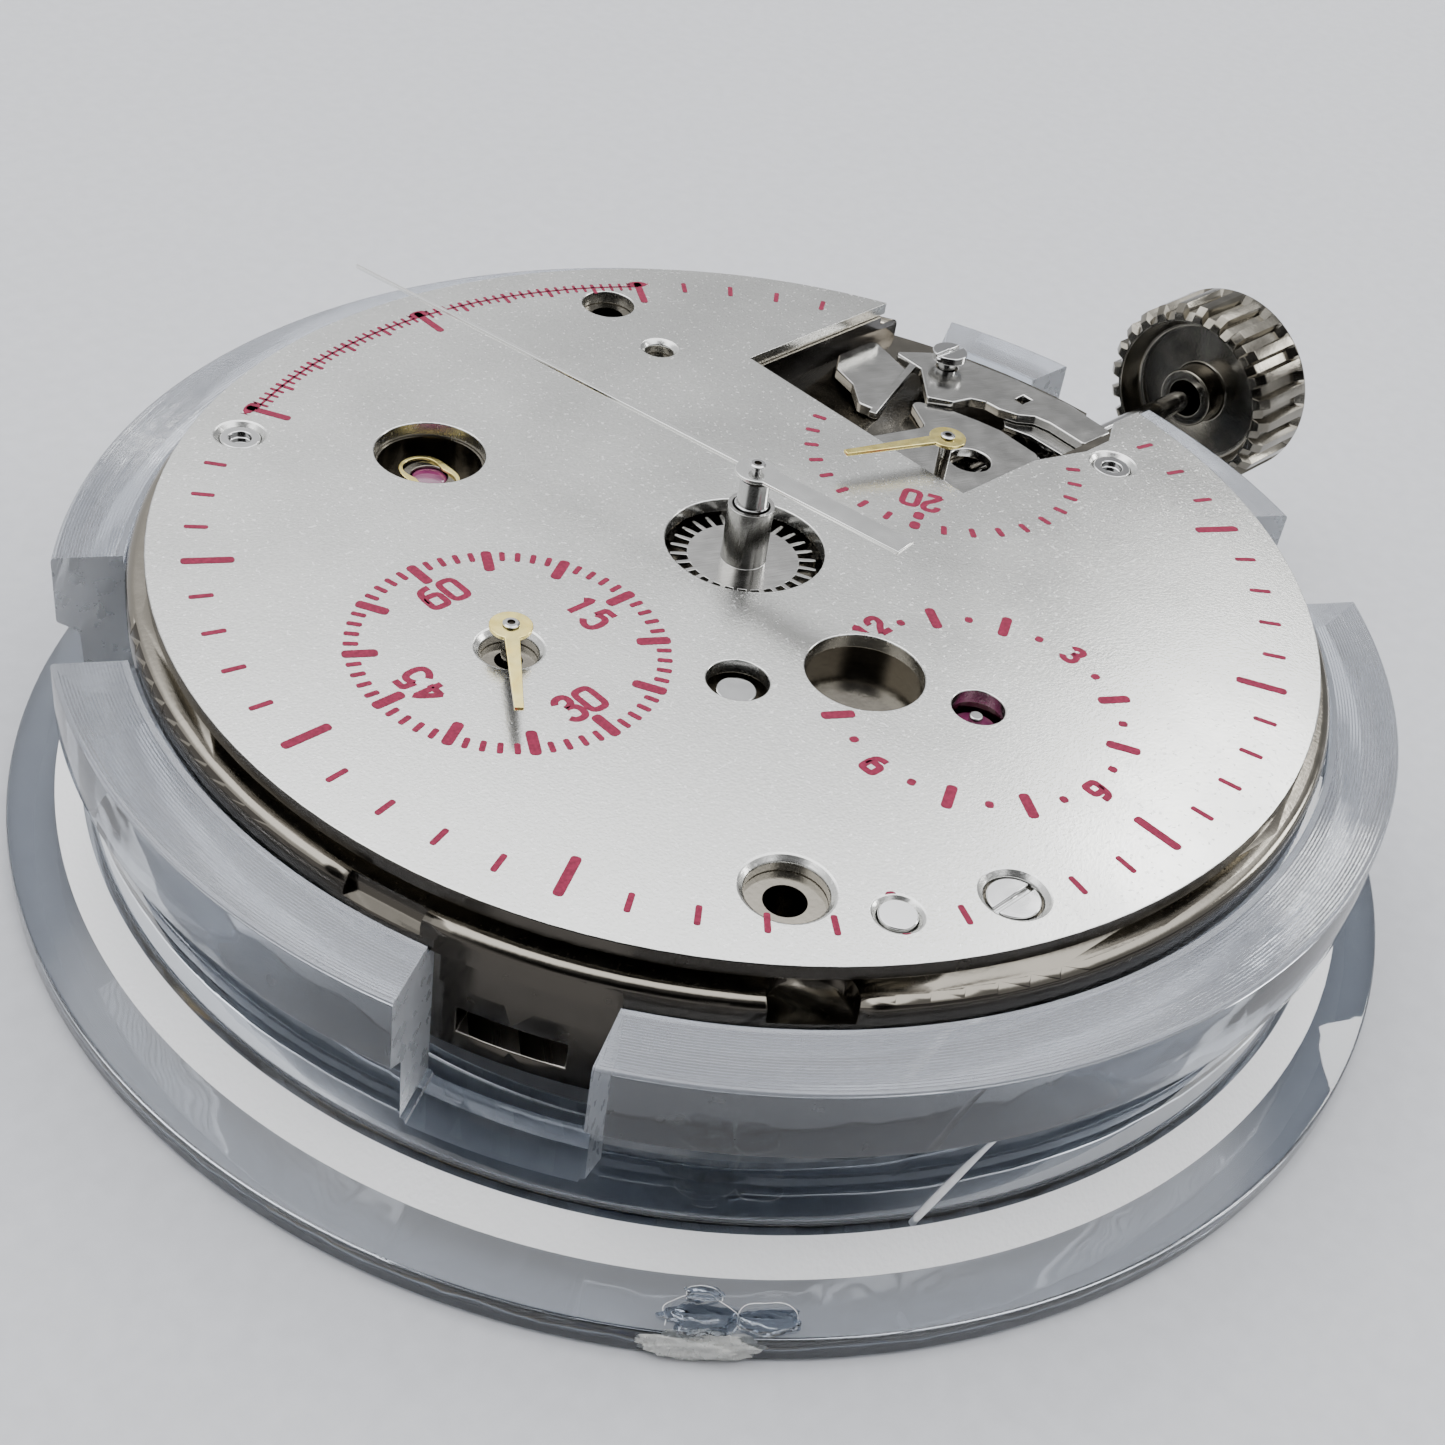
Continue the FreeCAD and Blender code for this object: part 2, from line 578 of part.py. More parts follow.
def make_motion_work():
    distance = MOTION_OFFSET * math.sqrt(2)
    hour_module = 2 * distance / (HOUR_TEETH + MINUTE_PINION_TEETH)
    minute_module = 2 * distance / (CANNON_TEETH + MINUTE_TEETH)
    top = DRIVING["main_top"]
    gap = DRIVING["run_gap"]
    bore = DRIVING["cannon_radius"] + gap
    towards = math.pi / 4
    low = top - DRIVING["hour_wheel_sink"]
    pipe = Part.makeCylinder(DRIVING["hour_pipe"], DRIVING["hour_pipe_top"] - low, V(0, 0, low))
    pipe = pipe.cut(Part.makeCylinder(bore, 4, V(0, 0, top - 1)))
    wheel = gear_shape(HOUR_TEETH, hour_module, low, top, bore, form=LONG_TOOTH)
    shaped("hour_wheel", wheel.fuse(pipe).removeSplitter())
    cannon_low = top - 1.25
    shoulder = DRIVING["hour_pipe_top"] + gap
    collar = DRIVING["cannon_radius"]
    cannon = Part.makeCylinder(collar, shoulder - cannon_low - 0.45, V(0, 0, cannon_low + 0.45))
    cannon = cannon.fuse(Part.makeCylinder(0.36, 0.5, V(0, 0, cannon_low)))
    seat = Part.makeCylinder(DRIVING["hand_seat"], DRIVING["cannon_top"] - shoulder, V(0, 0, shoulder))
    cannon = cannon.fuse(seat)
    cannon = cannon.fuse(gear_shape(CANNON_TEETH, minute_module, cannon_low, cannon_low + 0.4, 0.3))
    cannon = cannon.cut(Part.makeCylinder(DRIVING["centre_lower"] + gap, 6, V(0, 0, cannon_low - 1)))
    shaped("cannon_pinion", cannon.removeSplitter())
    phase = mesh_phase(CANNON_TEETH, 0, towards, MINUTE_TEETH)
    pinion_phase = mesh_phase(HOUR_TEETH, 0, towards, MINUTE_PINION_TEETH)
    minute = gear_shape(MINUTE_TEETH, minute_module, cannon_low + 0.1, cannon_low + 0.3, 0.2, phase)
    pinion = gear_shape(MINUTE_PINION_TEETH, hour_module, cannon_low + 0.3, top - 0.1, 0.2, pinion_phase,
                        form=PINION_TOOTH)
    shaped("minute_wheel", minute.fuse(pinion).removeSplitter(), x=MOTION_OFFSET, y=MOTION_OFFSET)
    stud = cylinder(0.15, S.main_top - 1.3, S.main_top - 0.1, MOTION_OFFSET, MOTION_OFFSET)
    node(stud, "minute_wheel_stud")


# ================================================================ underside: bridges and chronograph work

DRIVER_TEETH, COUPLING_TEETH, RUNNER_TEETH, RECORDER_TEETH = 48, 26, 78, 30
WORKS_MODULE = 0.1
RATCHET_TEETH, CROWN_WHEEL_TEETH = 48, 28
COUPLING_AT = (-4.92, -2.18)        # clear of the chronograph runner by about 0.3 mm


def make_bridges():
    low, high = S.bridge_low, S.main_low
    ratchet = (S.barrel_right, S.barrel_up)
    crown_wheel = (S.crown_wheel_right, S.crown_wheel_up)
    disc = cylinder(S.bridge_radius, low, high)
    half = combine("Common", disc, box((1.2, 16), (-5.5, 16), (low, high)))
    sinks = [cylinder(4.6, low - 1, low + 0.35, *ratchet), cylinder(2.8, low - 1, low + 0.35, *crown_wheel),
             cylinder(0.35, low - 1, high + 1, S.subdial, 0)]
    node(combine("Cut", half, *sinks, box((9.0, 13.0), (-1.0, 1.0), (high - 0.5, high + 1))), "barrel_bridge")

    disc = cylinder(S.bridge_radius, low, high)
    half = combine("Common", disc, box((-16, 0.9), (-16, 2.6), (low, high)))
    window = box((13.6, 17), (-1.5, 1.1), (low + 0.5, high - 0.75), turn=-151)
    sinks = [cylinder(0.35, low - 1, high + 1, -S.subdial, 0), cylinder(0.6, low - 1, high + 1), window]
    node(combine("Cut", half, *sinks), "train_bridge")

    disc = cylinder(S.bridge_radius, low, high)
    sector = combine("Common", disc, box((1.2, 16), (-16, -5.8), (low, high)))
    node(sector, "chronograph_base_bridge")

    arm = box((6.6, 15.2), (-1.5, 1.5), (low, low + 0.7), turn=118.5)
    eye = cylinder(1.9, low, low + 0.7, -S.balance_left, S.balance_up)
    foot = box((14.0, 15.2), (-1.5, 1.5), (low + 0.7, high), turn=118.5)
    cock = combine("Fuse", arm, eye, foot)
    cock = combine("Common", cock, cylinder(S.bridge_radius, low - 1, high + 1))
    node(combine("Cut", cock, cylinder(0.4, low - 1, low + 1, -S.balance_left, S.balance_up)), "balance_cock")

    low, high = S.cover_low, S.cover_high
    bar = combine("Fuse", box((-1.3, 1.3), (-11.5, 0), (low, high)), cylinder(1.9, low, high),
                  cylinder(1.9, low, high, 0, -11.5))
    bar = combine("Cut", bar, cylinder(0.45, low - 1, high + 1))
    post = cylinder(1.2, high, S.bridge_low, 0, -11.5)
    node(combine("Fuse", bar, post), "chronograph_bridge")


BRIDGE_SCREWS = ((3.0, 13.2), (13.4, -3.2), (2.6, -4.2), (-2.6, -13.4), (-13.2, -3.6), (12.2, -8.2),
                 (4.2, -13.4))


def make_underside_small_parts():
    screws = []
    for x, y in BRIDGE_SCREWS:
        head = cylinder(0.75, S.bridge_low - 0.3, S.bridge_low, x, y)
        slot = box((x - 0.8, x + 0.8), (y - 0.09, y + 0.09), (S.bridge_low - 0.4, S.bridge_low - 0.15))
        screws.append(combine("Cut", head, slot))
    solids("bridge_screws", *screws)
    jewels = [combine("Cut", cylinder(0.39, S.bridge_low, S.bridge_low + 0.4, -S.balance_left, S.balance_up),
                      cylinder(0.16, S.bridge_low - 1, S.bridge_low + 1, -S.balance_left, S.balance_up)),
              combine("Cut", cylinder(0.44, S.cover_low, S.cover_high),
                      cylinder(0.25, S.cover_low - 1, S.cover_high + 1))]
    solids("bridge_jewels", *jewels)


def make_balance():
    x, y = -S.balance_left, S.balance_up
    low = DRIVING["bridge_low"] + 1.0
    rim = Part.makeCylinder(4.6, 0.35, V(0, 0, low)).cut(Part.makeCylinder(4.1, 0.35, V(0, 0, low)))
    arms = Part.makeBox(8.6, 0.5, 0.2, V(-4.3, -0.25, low)).fuse(Part.makeCylinder(0.7, 0.2, V(0, 0, low)))
    third = Part.makeBox(4.3, 0.5, 0.2, V(0, -0.25, low))
    third.rotate(V(0, 0, 0), V(0, 0, 1), 90)
    wheel = rim.fuse(arms).fuse(third).cut(Part.makeCylinder(0.2, 2, V(0, 0, low - 1)))
    shaped("balance_wheel", wheel.removeSplitter(), x=x, y=y)
    node(cylinder(0.2, S.bridge_low + 0.75, S.main_low - 0.1, x, y), "balance_staff")
    turns, inner, pitch, wire = 7, 0.55, 0.32, 0.05
    spring = None
    for turn in range(turns):
        middle = inner + turn * pitch
        ring = Part.makeCylinder(middle + wire / 2, 0.14, V(0, 0, low + 0.45))
        ring = ring.cut(Part.makeCylinder(middle - wire / 2, 0.14, V(0, 0, low + 0.45)))
        spring = ring if spring is None else spring.fuse(ring)
    link = Part.makeBox(inner + turns * pitch - 0.2, 0.06, 0.14, V(0.2, -0.03, low + 0.45))
    shaped("hairspring", spring.fuse(link).removeSplitter(), x=x, y=y)


def make_wheels():
    low = DRIVING["works_low"]
    high = low + DRIVING["works_thick"]
    subdial = DRIVING["subdial"]
    arbor = DRIVING["counter_arbor"]
    driver = gear_shape(DRIVER_TEETH, WORKS_MODULE, low, high, arbor, 0, 4)
    shaped("fourth_driver_wheel", driver, x=-S.subdial)
    towards = math.atan2(COUPLING_AT[1], COUPLING_AT[0] + subdial)
    phase = mesh_phase(DRIVER_TEETH, 0, towards, COUPLING_TEETH)
    coupling = gear_shape(COUPLING_TEETH, WORKS_MODULE, low, high, 0.15, phase, 3)
    shaped("coupling_wheel", coupling, x=COUPLING_AT[0], y=COUPLING_AT[1])
    node(cylinder(0.11, low - 0.1, S.bridge_low, *COUPLING_AT), "coupling_arbor")
    runner = gear_shape(RUNNER_TEETH, WORKS_MODULE, low, high, DRIVING["centre_lower"], 0, 5)
    shaped("chronograph_runner", runner)
    recorder = gear_shape(RECORDER_TEETH, 0.13, low, high, arbor, 0, 4)
    shaped("minute_recorder_wheel", recorder, x=S.subdial)

    low = DRIVING["bridge_low"] - 0.1
    right = DRIVING["barrel_right"] - DRIVING["crown_wheel_right"]
    up = DRIVING["barrel_up"] - DRIVING["crown_wheel_up"]
    module = 2 * math.hypot(right, up) / (RATCHET_TEETH + CROWN_WHEEL_TEETH)
    ratchet = gear_shape(RATCHET_TEETH, module, low, low + 0.35, 0.5)
    shaped("ratchet_wheel", ratchet, x=S.barrel_right, y=S.barrel_up)
    phase = mesh_phase(RATCHET_TEETH, 0, math.atan2(-up, -right), CROWN_WHEEL_TEETH)
    crown_wheel = gear_shape(CROWN_WHEEL_TEETH, module, low, low + 0.35, 0.5, phase)
    shaped("crown_wheel", crown_wheel, x=S.crown_wheel_right, y=S.crown_wheel_up)
    for name, x, y in (("ratchet_screw", S.barrel_right, S.barrel_up),
                       ("crown_wheel_screw", S.crown_wheel_right, S.crown_wheel_up)):
        head = cylinder(0.95, low - 0.3, low, x, y)
        slot = box((size(x) - 1, size(x) + 1), (size(y) - 0.1, size(y) + 0.1), (low - 0.4, low - 0.15))
        node(combine("Fuse", combine("Cut", head, slot), cylinder(0.46, low, low + 0.35, x, y)), name)

    # six-column wheel that switches the chronograph
    teeth = gear_shape(12, 0.26, 2.75, 3.05, 0.3)
    cap = Part.makeCylinder(1.25, 0.2, V(0, 0, 3.05)).cut(Part.makeCylinder(0.3, 1, V(0, 0, 3)))
    wheel = teeth.fuse(cap)
    for column in range(6):
        block = Part.makeCylinder(1.25, 0.45, V(0, 0, 2.3)).cut(Part.makeCylinder(0.7, 0.45, V(0, 0, 2.3)))
        wedge = Part.makeBox(2, 0.62, 0.45, V(0, -0.31, 2.3))
        wedge.rotate(V(0, 0, 0), V(0, 0, 1), column * 60)
        wheel = wheel.fuse(block.common(wedge))
    shaped("column_wheel", wheel.removeSplitter(), x=-9.6, y=-8.0)
    stud = combine("Fuse", cylinder(0.25, 2.3, S.bridge_low, -9.6, -8.0),
                   cylinder(0.65, 2.1, 2.3, -9.6, -8.0))
    node(stud, "column_wheel_screw")


def export_all():
    doc.recompute()
    broken = [thing.Label for thing in doc.Objects if {"Invalid", "Error"} & set(thing.State)]
    if broken:
        raise RuntimeError("failed objects: %s" % broken)
    os.makedirs("parts", exist_ok=True)
    for thing in nodes:
        shape = thing.Shape
        if shape.isNull() or not shape.isValid() or not shape.Solids:
            raise RuntimeError("bad shape: %s" % thing.Label)
        shape.exportStep(os.path.join("parts", thing.Label + ".step"))
        print("%-28s solids %d volume %.3f" % (thing.Label, len(shape.Solids), shape.Volume))
    print("nodes", len(nodes))


make_holder()
make_main_plate()
make_dial_plate()
make_plate_fittings()
make_shock_setting()
make_keyless_work()
make_winding()
make_hands()
make_motion_work()
make_bridges()
make_underside_small_parts()
make_balance()
make_wheels()
export_all()
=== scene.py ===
"""Looks for a clear movement holder and the hand-wound chronograph movement that it carries.

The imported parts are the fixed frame. This script rounds their edges, gives every piece its finish
and adds what is too fine for the frame: turned grooves, printed scales and numerals, the crown's
flutes, the shock spring and the moulding marks.
"""
import json
import math

import bmesh
import bpy
from bpy.props import FloatProperty, FloatVectorProperty, IntProperty, PointerProperty
from mathutils import Matrix, Vector, noise

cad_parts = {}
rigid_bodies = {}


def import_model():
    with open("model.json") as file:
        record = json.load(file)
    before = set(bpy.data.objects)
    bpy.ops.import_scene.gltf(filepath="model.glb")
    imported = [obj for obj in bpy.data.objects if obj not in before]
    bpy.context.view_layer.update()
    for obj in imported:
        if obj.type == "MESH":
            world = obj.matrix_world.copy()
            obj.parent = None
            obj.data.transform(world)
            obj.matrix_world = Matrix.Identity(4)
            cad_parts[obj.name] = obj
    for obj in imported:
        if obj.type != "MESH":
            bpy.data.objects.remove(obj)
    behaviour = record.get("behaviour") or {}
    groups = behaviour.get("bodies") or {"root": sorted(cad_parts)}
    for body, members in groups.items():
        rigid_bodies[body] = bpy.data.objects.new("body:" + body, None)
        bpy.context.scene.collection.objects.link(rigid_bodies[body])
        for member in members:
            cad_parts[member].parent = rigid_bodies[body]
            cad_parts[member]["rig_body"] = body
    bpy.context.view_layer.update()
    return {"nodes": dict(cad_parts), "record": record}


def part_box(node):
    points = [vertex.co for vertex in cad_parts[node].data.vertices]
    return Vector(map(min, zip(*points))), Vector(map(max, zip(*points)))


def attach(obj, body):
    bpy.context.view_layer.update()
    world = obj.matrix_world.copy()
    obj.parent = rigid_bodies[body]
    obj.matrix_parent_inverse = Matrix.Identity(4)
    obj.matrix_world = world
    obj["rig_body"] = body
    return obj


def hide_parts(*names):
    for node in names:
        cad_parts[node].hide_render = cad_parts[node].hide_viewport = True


bl_info = {
    "name": "Watch movement holder",
    "version": (1, 0, 0),
    "blender": (4, 5, 0),
    "location": "View3D > Sidebar > Holder",
    "description": "Finishes a clear movement holder and the chronograph movement inside it",
    "category": "Add Mesh",
}

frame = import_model()
MM = 0.001
JOIN_DISTANCE = 0.0002 * MM
SLOTS = {part["node"]: part["material_slot"] for part in frame["record"]["subparts"]}


def middle(node):
    """The centre of a frame piece's box."""
    low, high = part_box(node)
    return (low + high) / 2


RING_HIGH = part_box("holder_ring")[1].z
PLATE_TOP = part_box("dial_plate")[1].z
SECONDS_DIAL = middle("small_seconds_arbor")
MINUTES_DIAL = middle("minute_counter_arbor")
HOURS_DIAL = middle("hour_counter_arbor")
BALANCE = middle("shock_jewel")


# ---------------------------------------------------------------- small helpers

def colour(code):
    """An sRGB hex code as a linear RGBA value."""
    channels = [int(code[start:start + 2], 16) / 255 for start in (1, 3, 5)]
    return [c / 12.92 if c <= 0.04045 else ((c + 0.055) / 1.055) ** 2.4 for c in channels] + [1.0]


def add(tree, kind, inputs=None, **settings):
    """Add a node, set its own settings, then give each input a value or a link."""
    node = tree.nodes.new(kind)
    for name, value in settings.items():
        setattr(node, name, value)
    for key, value in (inputs or {}).items():
        if isinstance(value, bpy.types.NodeSocket):
            tree.links.new(value, node.inputs[key])
        else:
            node.inputs[key].default_value = value
    return node


def add_object(name, data):
    thing = bpy.data.objects.new(name, data)
    bpy.context.scene.collection.objects.link(thing)
    return thing


def add_piece(name, mesh, *materials):
    piece = add_object(name, mesh)
    mesh.materials.clear()
    for material in materials:
        mesh.materials.append(material)
    return piece


def mesh_from(work, name):
    """A new mesh with what was built in a bmesh, which is freed."""
    mesh = bpy.data.meshes.new(name)
    work.to_mesh(mesh)
    work.free()
    return mesh


def skin(work, rows, closed=True):
    """Faces between neighbouring rows of points, where each row runs round a section."""
    following = rows[1:] + rows[:1] if closed else rows[1:]
    for near, far in zip(rows, following):
        for step in range(len(near)):
            after = (step + 1) % len(near)
            work.faces.new((near[step], far[step], far[after], near[after]))
    bmesh.ops.recalc_face_normals(work, faces=work.faces)


def shade(mesh, degrees=35):
    """Smooth shading, with edges sharper than the angle kept crisp."""
    mesh.polygons.foreach_set("use_smooth", [True] * len(mesh.polygons))
    mesh.set_sharp_from_angle(angle=math.radians(degrees))


def settle(piece, body, slot, *nodes):
    """Parent a finished piece to the body it rides on and hide the frame pieces it stands for."""
    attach(piece, body)
    if nodes:
        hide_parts(*nodes)


def evaluated_mesh(thing):
    """A plain mesh of an object with its modifiers and curves worked out."""
    return bpy.data.meshes.new_from_object(thing.evaluated_get(bpy.context.evaluated_depsgraph_get()))


def bevel(piece, width, segments=2, degrees=40):
    """Round over a piece's edges a little, as tumbling, polishing or a worn mould leaves them."""
    modifier = piece.modifiers.new("eased_edges", "BEVEL")
    modifier.limit_method = "ANGLE"
    modifier.angle_limit = math.radians(degrees)
    modifier.width = width
    modifier.segments = segments
    modifier.use_clamp_overlap = False
    smoother = piece.modifiers.new("even_shading", "WEIGHTED_NORMAL")
    smoother.keep_sharp = True


def joined_copy(node, name):
    """A copy of a frame piece's mesh with its loose triangles joined into whole faces."""
    mesh = frame["nodes"][node].data.copy()
    mesh.name = name
    work = bmesh.new()
    work.from_mesh(mesh)
    bmesh.ops.remove_doubles(work, verts=work.verts, dist=JOIN_DISTANCE)
    bmesh.ops.dissolve_limit(work, angle_limit=math.radians(0.4), verts=work.verts, edges=work.edges)
    work.to_mesh(mesh)
    work.free()
    return mesh


def finish_node(node, material, edge=0.0):
    """Let an eased and finished copy stand for a frame piece."""
    name = node + "_finished"
    mesh = joined_copy(node, name)
    piece = add_piece(name, mesh, material)
    shade(mesh)
    if edge:
        bevel(piece, edge)
    settle(piece, frame["nodes"][node]["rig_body"], SLOTS[node], node)
    return piece


# ---------------------------------------------------------------- finishes

def new_finish(name, base, **surface):
    """A Principled material with its uniform values on the shader's own sockets."""
    material = bpy.data.materials.new(name)
    material.use_nodes = True
    tree = material.node_tree
    shader = tree.nodes["Principled BSDF"]
    shader.inputs["Base Color"].default_value = colour(base)
    for key, value in surface.items():
        shader.inputs[key.replace("_", " ").title().replace("Ior", "IOR")].default_value = value
    return material, tree, shader


def millimetres(tree, turn=0.0, stretch=(1, 1, 1)):
    """Object coordinates in millimetres, turned about Z and stretched for grain."""
    coordinates = add(tree, "ShaderNodeTexCoord")
    scale = [share / MM for share in stretch]
    turned = add(tree, "ShaderNodeMapping", {
        "Vector": coordinates.outputs["Object"], "Rotation": (0, 0, math.radians(turn))})
    return add(tree, "ShaderNodeMapping", {"Vector": turned.outputs[0], "Scale": scale}).outputs[0]


def grain(tree, vector, size, low, high, detail=3.0):
    """Noise of a feature size in millimetres, mapped to a range."""
    texture = add(tree, "ShaderNodeTexNoise", {"Vector": vector, "Scale": 1 / size, "Detail": detail})
    spread = add(tree, "ShaderNodeMapRange", {
        "Value": texture.outputs["Fac"], "From Min": 0.3, "From Max": 0.7, "To Min": low, "To Max": high})
    return spread.outputs[0]


def scratches(tree, turn, length, width, share):
    """Thin straight scratches along one direction: long narrow noise cells cut off near their peaks."""
    vector = millimetres(tree, turn, (1 / length, 1 / width, 1))
    texture = add(tree, "ShaderNodeTexNoise", {"Vector": vector, "Scale": 1.0, "Detail": 1.0})
    cut = add(tree, "ShaderNodeMapRange", {
        "Value": texture.outputs["Fac"], "From Min": share, "From Max": share + 0.02})
    return cut.outputs[0]


def combine(tree, operation, first, second):
    return add(tree, "ShaderNodeMath", {0: first, 1: second}, operation=operation).outputs[0]


def bump(tree, shader, height, depth, strength=1.0):
    """Turn a height pattern of a depth in millimetres into surface relief."""
    relief = add(tree, "ShaderNodeBump", {"Height": height, "Distance": depth * MM, "Strength": strength})
    tree.links.new(relief.outputs[0], shader.inputs["Normal"])


def tint(tree, shader, factor, dark, light):
    """Vary the base colour between two hex colours."""
    mix = add(tree, "ShaderNodeMix", {"Factor": factor, "A": colour(dark), "B": colour(light)},
              data_type="RGBA")
    tree.links.new(mix.outputs["Result"], shader.inputs["Base Color"])


def simple_finish(name, base, haze=None, shades=None, relief=None, detail=3.0, **surface):
    """A finish with up to three noise patterns, whose feature sizes are in millimetres.

    haze is (size, lowest, highest roughness), shades is (size, dark, light) and relief is (size, depth).
    """
    material, tree, shader = new_finish(name, base, **surface)
    if haze:
        tree.links.new(grain(tree, millimetres(tree), *haze), shader.inputs["Roughness"])
    if shades:
        size, dark, light = shades
        tint(tree, shader, grain(tree, millimetres(tree), size, 0, 1, detail), dark, light)
    if relief:
        size, depth = relief
        bump(tree, shader, grain(tree, millimetres(tree), size, 0, 1, detail), depth)
    return material


def clear_polystyrene():
    """Injection-moulded crystal polystyrene: a hard glassy gloss with a faint orange-peel ripple."""
    return simple_finish("moulded_clear_polystyrene", "#d6dce4", relief=(1.6, 0.004), detail=1.0,
                         roughness=0.02, ior=1.59, transmission_weight=1.0)


def turned_polystyrene():
    """The same moulding where a lathe tool faced it: a fine haze between the turned grooves."""
    return simple_finish("lathe_turned_polystyrene", "#e9edf5", haze=(0.4, 0.07, 0.22),
                         roughness=0.12, ior=1.59, transmission_weight=0.82)


def frosted_polystyrene():
    """The filed slope above the foot: white and matt, with a little scatter in its marks."""
    return simple_finish("filed_frosted_polystyrene", "#fbfbfa", haze=(0.8, 0.3, 0.6), relief=(0.12, 0.01),
                         roughness=0.45, ior=1.59)


def torn_polystyrene():
    """Polystyrene where it was snapped off: cloudy, crazed and rough."""
    return simple_finish("snapped_polystyrene", "#f2f2ec", haze=(0.35, 0.05, 0.6), relief=(0.18, 0.03),
                         roughness=0.2, ior=1.59, transmission_weight=0.5)


def sawn_polystyrene():
    """The walls of the milled notches: milky, with the cutter's fine upright lines."""
    material, tree, shader = new_finish(
        "milled_polystyrene", "#eef1f5", roughness=0.3, ior=1.59, transmission_weight=0.6)
    tree.links.new(grain(tree, millimetres(tree), 0.5, 0.2, 0.42), shader.inputs["Roughness"])
    bump(tree, shader, grain(tree, millimetres(tree, 0, (1, 1, 0.1)), 0.06, 0, 1), 0.0008)
    return material


def satin_dial_plate():
    """Nickel-plated brass, blasted then rubbed: a soft mirror with specks and handling scratches."""
    material, tree, shader = new_finish("satin_nickel_plate", "#d6d6d3", metallic=1.0, roughness=0.24)
    speck = grain(tree, millimetres(tree), 0.07, 0, 1, 2.0)
    cloud = grain(tree, millimetres(tree), 3.0, 0.21, 0.27)
    dots = grain(tree, millimetres(tree), 0.13, 0, 1, 1.0)
    fleck = add(tree, "ShaderNodeMapRange", {"Value": dots, "From Min": 0.93, "From Max": 1.0}).outputs[0]
    marks = combine(tree, "MAXIMUM", scratches(tree, 24, 1.6, 0.02, 0.79),
                    scratches(tree, -52, 1.1, 0.02, 0.8))
    marks = combine(tree, "MAXIMUM", marks, fleck)
    rough = combine(tree, "ADD", cloud, combine(tree, "MULTIPLY", marks, 0.08))
    tree.links.new(rough, shader.inputs["Roughness"])
    pale = combine(tree, "ADD", combine(tree, "MULTIPLY", speck, 0.5), marks)
    tint(tree, shader, pale, "#cdcdc9", "#e0e0dd")
    bump(tree, shader, combine(tree, "ADD", speck, combine(tree, "MULTIPLY", marks, 0.6)), 0.001)
    return material


def polished_nickel():
    """Nickel plate over brass, buffed: warm and mirror-like with a faint haze; its base is darker than
    nickel, painted shade for the pockets under the dial plate.
    """
    return simple_finish("polished_nickel_plate", "#837e74", haze=(0.5, 0.1, 0.2), relief=(0.12, 0.0008),
                         metallic=1.0, roughness=0.14)


def shade_painted_nickel():
    """Nickel much darker than its own colour: painted shade on rims, sides, undersides and in pivot holes.
    """
    return simple_finish("nickel_with_painted_shade", "#4c4842", haze=(0.6, 0.14, 0.28),
                         metallic=1.0, roughness=0.2)


def striped_nickel():
    """Bridge nickel with straight bands rolled across it by an abrasive disc, about 1.1 mm apart."""
    material, tree, shader = new_finish("striped_nickel_plate", "#c4c0b7", metallic=1.0, roughness=0.2)
    vector = millimetres(tree, 35)
    bands = add(tree, "ShaderNodeTexWave", {"Vector": vector, "Scale": 0.286, "Distortion": 0.0},
                wave_type="BANDS", wave_profile="SAW").outputs["Fac"]
    fine = grain(tree, millimetres(tree, 35, (1, 0.1, 1)), 0.05, 0, 1)
    tree.links.new(add(tree, "ShaderNodeMapRange", {
        "Value": bands, "To Min": 0.16, "To Max": 0.34}).outputs[0], shader.inputs["Roughness"])
    height = combine(tree, "ADD", bands, combine(tree, "MULTIPLY", fine, 0.15))
    bump(tree, shader, height, 0.012)
    tint(tree, shader, bands, "#aca89f", "#d2cec5")
    return material


def mirror_steel():
    """Hardened steel, black-polished: a clean neutral mirror."""
    return simple_finish("black_polished_steel", "#c9c9c8", haze=(0.3, 0.05, 0.12),
                         metallic=1.0, roughness=0.07)


def rhodium_hand():
    """Rhodium-plated hand, bright and a little brighter than the plate below it."""
    return simple_finish("rhodium_plated_hand", "#f1f1ee", haze=(0.5, 0.1, 0.18),
                         metallic=1.0, roughness=0.13)


def grained_steel():
    """Stamped steel, drawn over emery paper: straight fine grain and a grey sheen."""
    material, tree, shader = new_finish("straight_grained_steel", "#bdbcb8", metallic=1.0, roughness=0.26)
    lines = grain(tree, millimetres(tree, 20, (0.05, 1, 1)), 0.05, 0, 1, 1.0)
    tree.links.new(grain(tree, millimetres(tree), 0.6, 0.13, 0.22), shader.inputs["Roughness"])
    tint(tree, shader, lines, "#b3b2ae", "#bfbebb")
    bump(tree, shader, lines, 0.0002)
    return material


def crown_nickel():
    """Nickel-plated crown, tumbled bright, its tone wandering at random between darker and lighter nickel.
    """
    return simple_finish("tumbled_crown_nickel", "#8f8b81", haze=(0.7, 0.11, 0.26),
                         shades=(1.2, "#6a665d", "#8f8b81"), relief=(0.1, 0.001),
                         metallic=1.0, roughness=0.16)


def gilt():
    """Pale gold wash on flat brass hands, bright with faint draw lines."""
    return simple_finish("pale_gilt_hands", "#fbe792", haze=(0.3, 0.12, 0.24),
                         shades=(0.5, "#f6df84", "#fff0a4"), metallic=1.0, roughness=0.16)


def gilt_brass():
    """Gilt brass wheel, finely stoned: a soft yellow with a close, even grain."""
    return simple_finish("circular_grained_gilt_brass", "#cfae66", haze=(0.5, 0.18, 0.3),
                         shades=(0.05, "#c39f57", "#dcbd78"), relief=(0.05, 0.001),
                         metallic=1.0, roughness=0.24)


def ruby():
    """Synthetic ruby, ground and polished: deep pink-violet with a glassy face."""
    return simple_finish("polished_synthetic_ruby", "#7c2a55", shades=(0.5, "#6b2550", "#8f3a66"),
                         roughness=0.06, ior=1.77, transmission_weight=0.25)


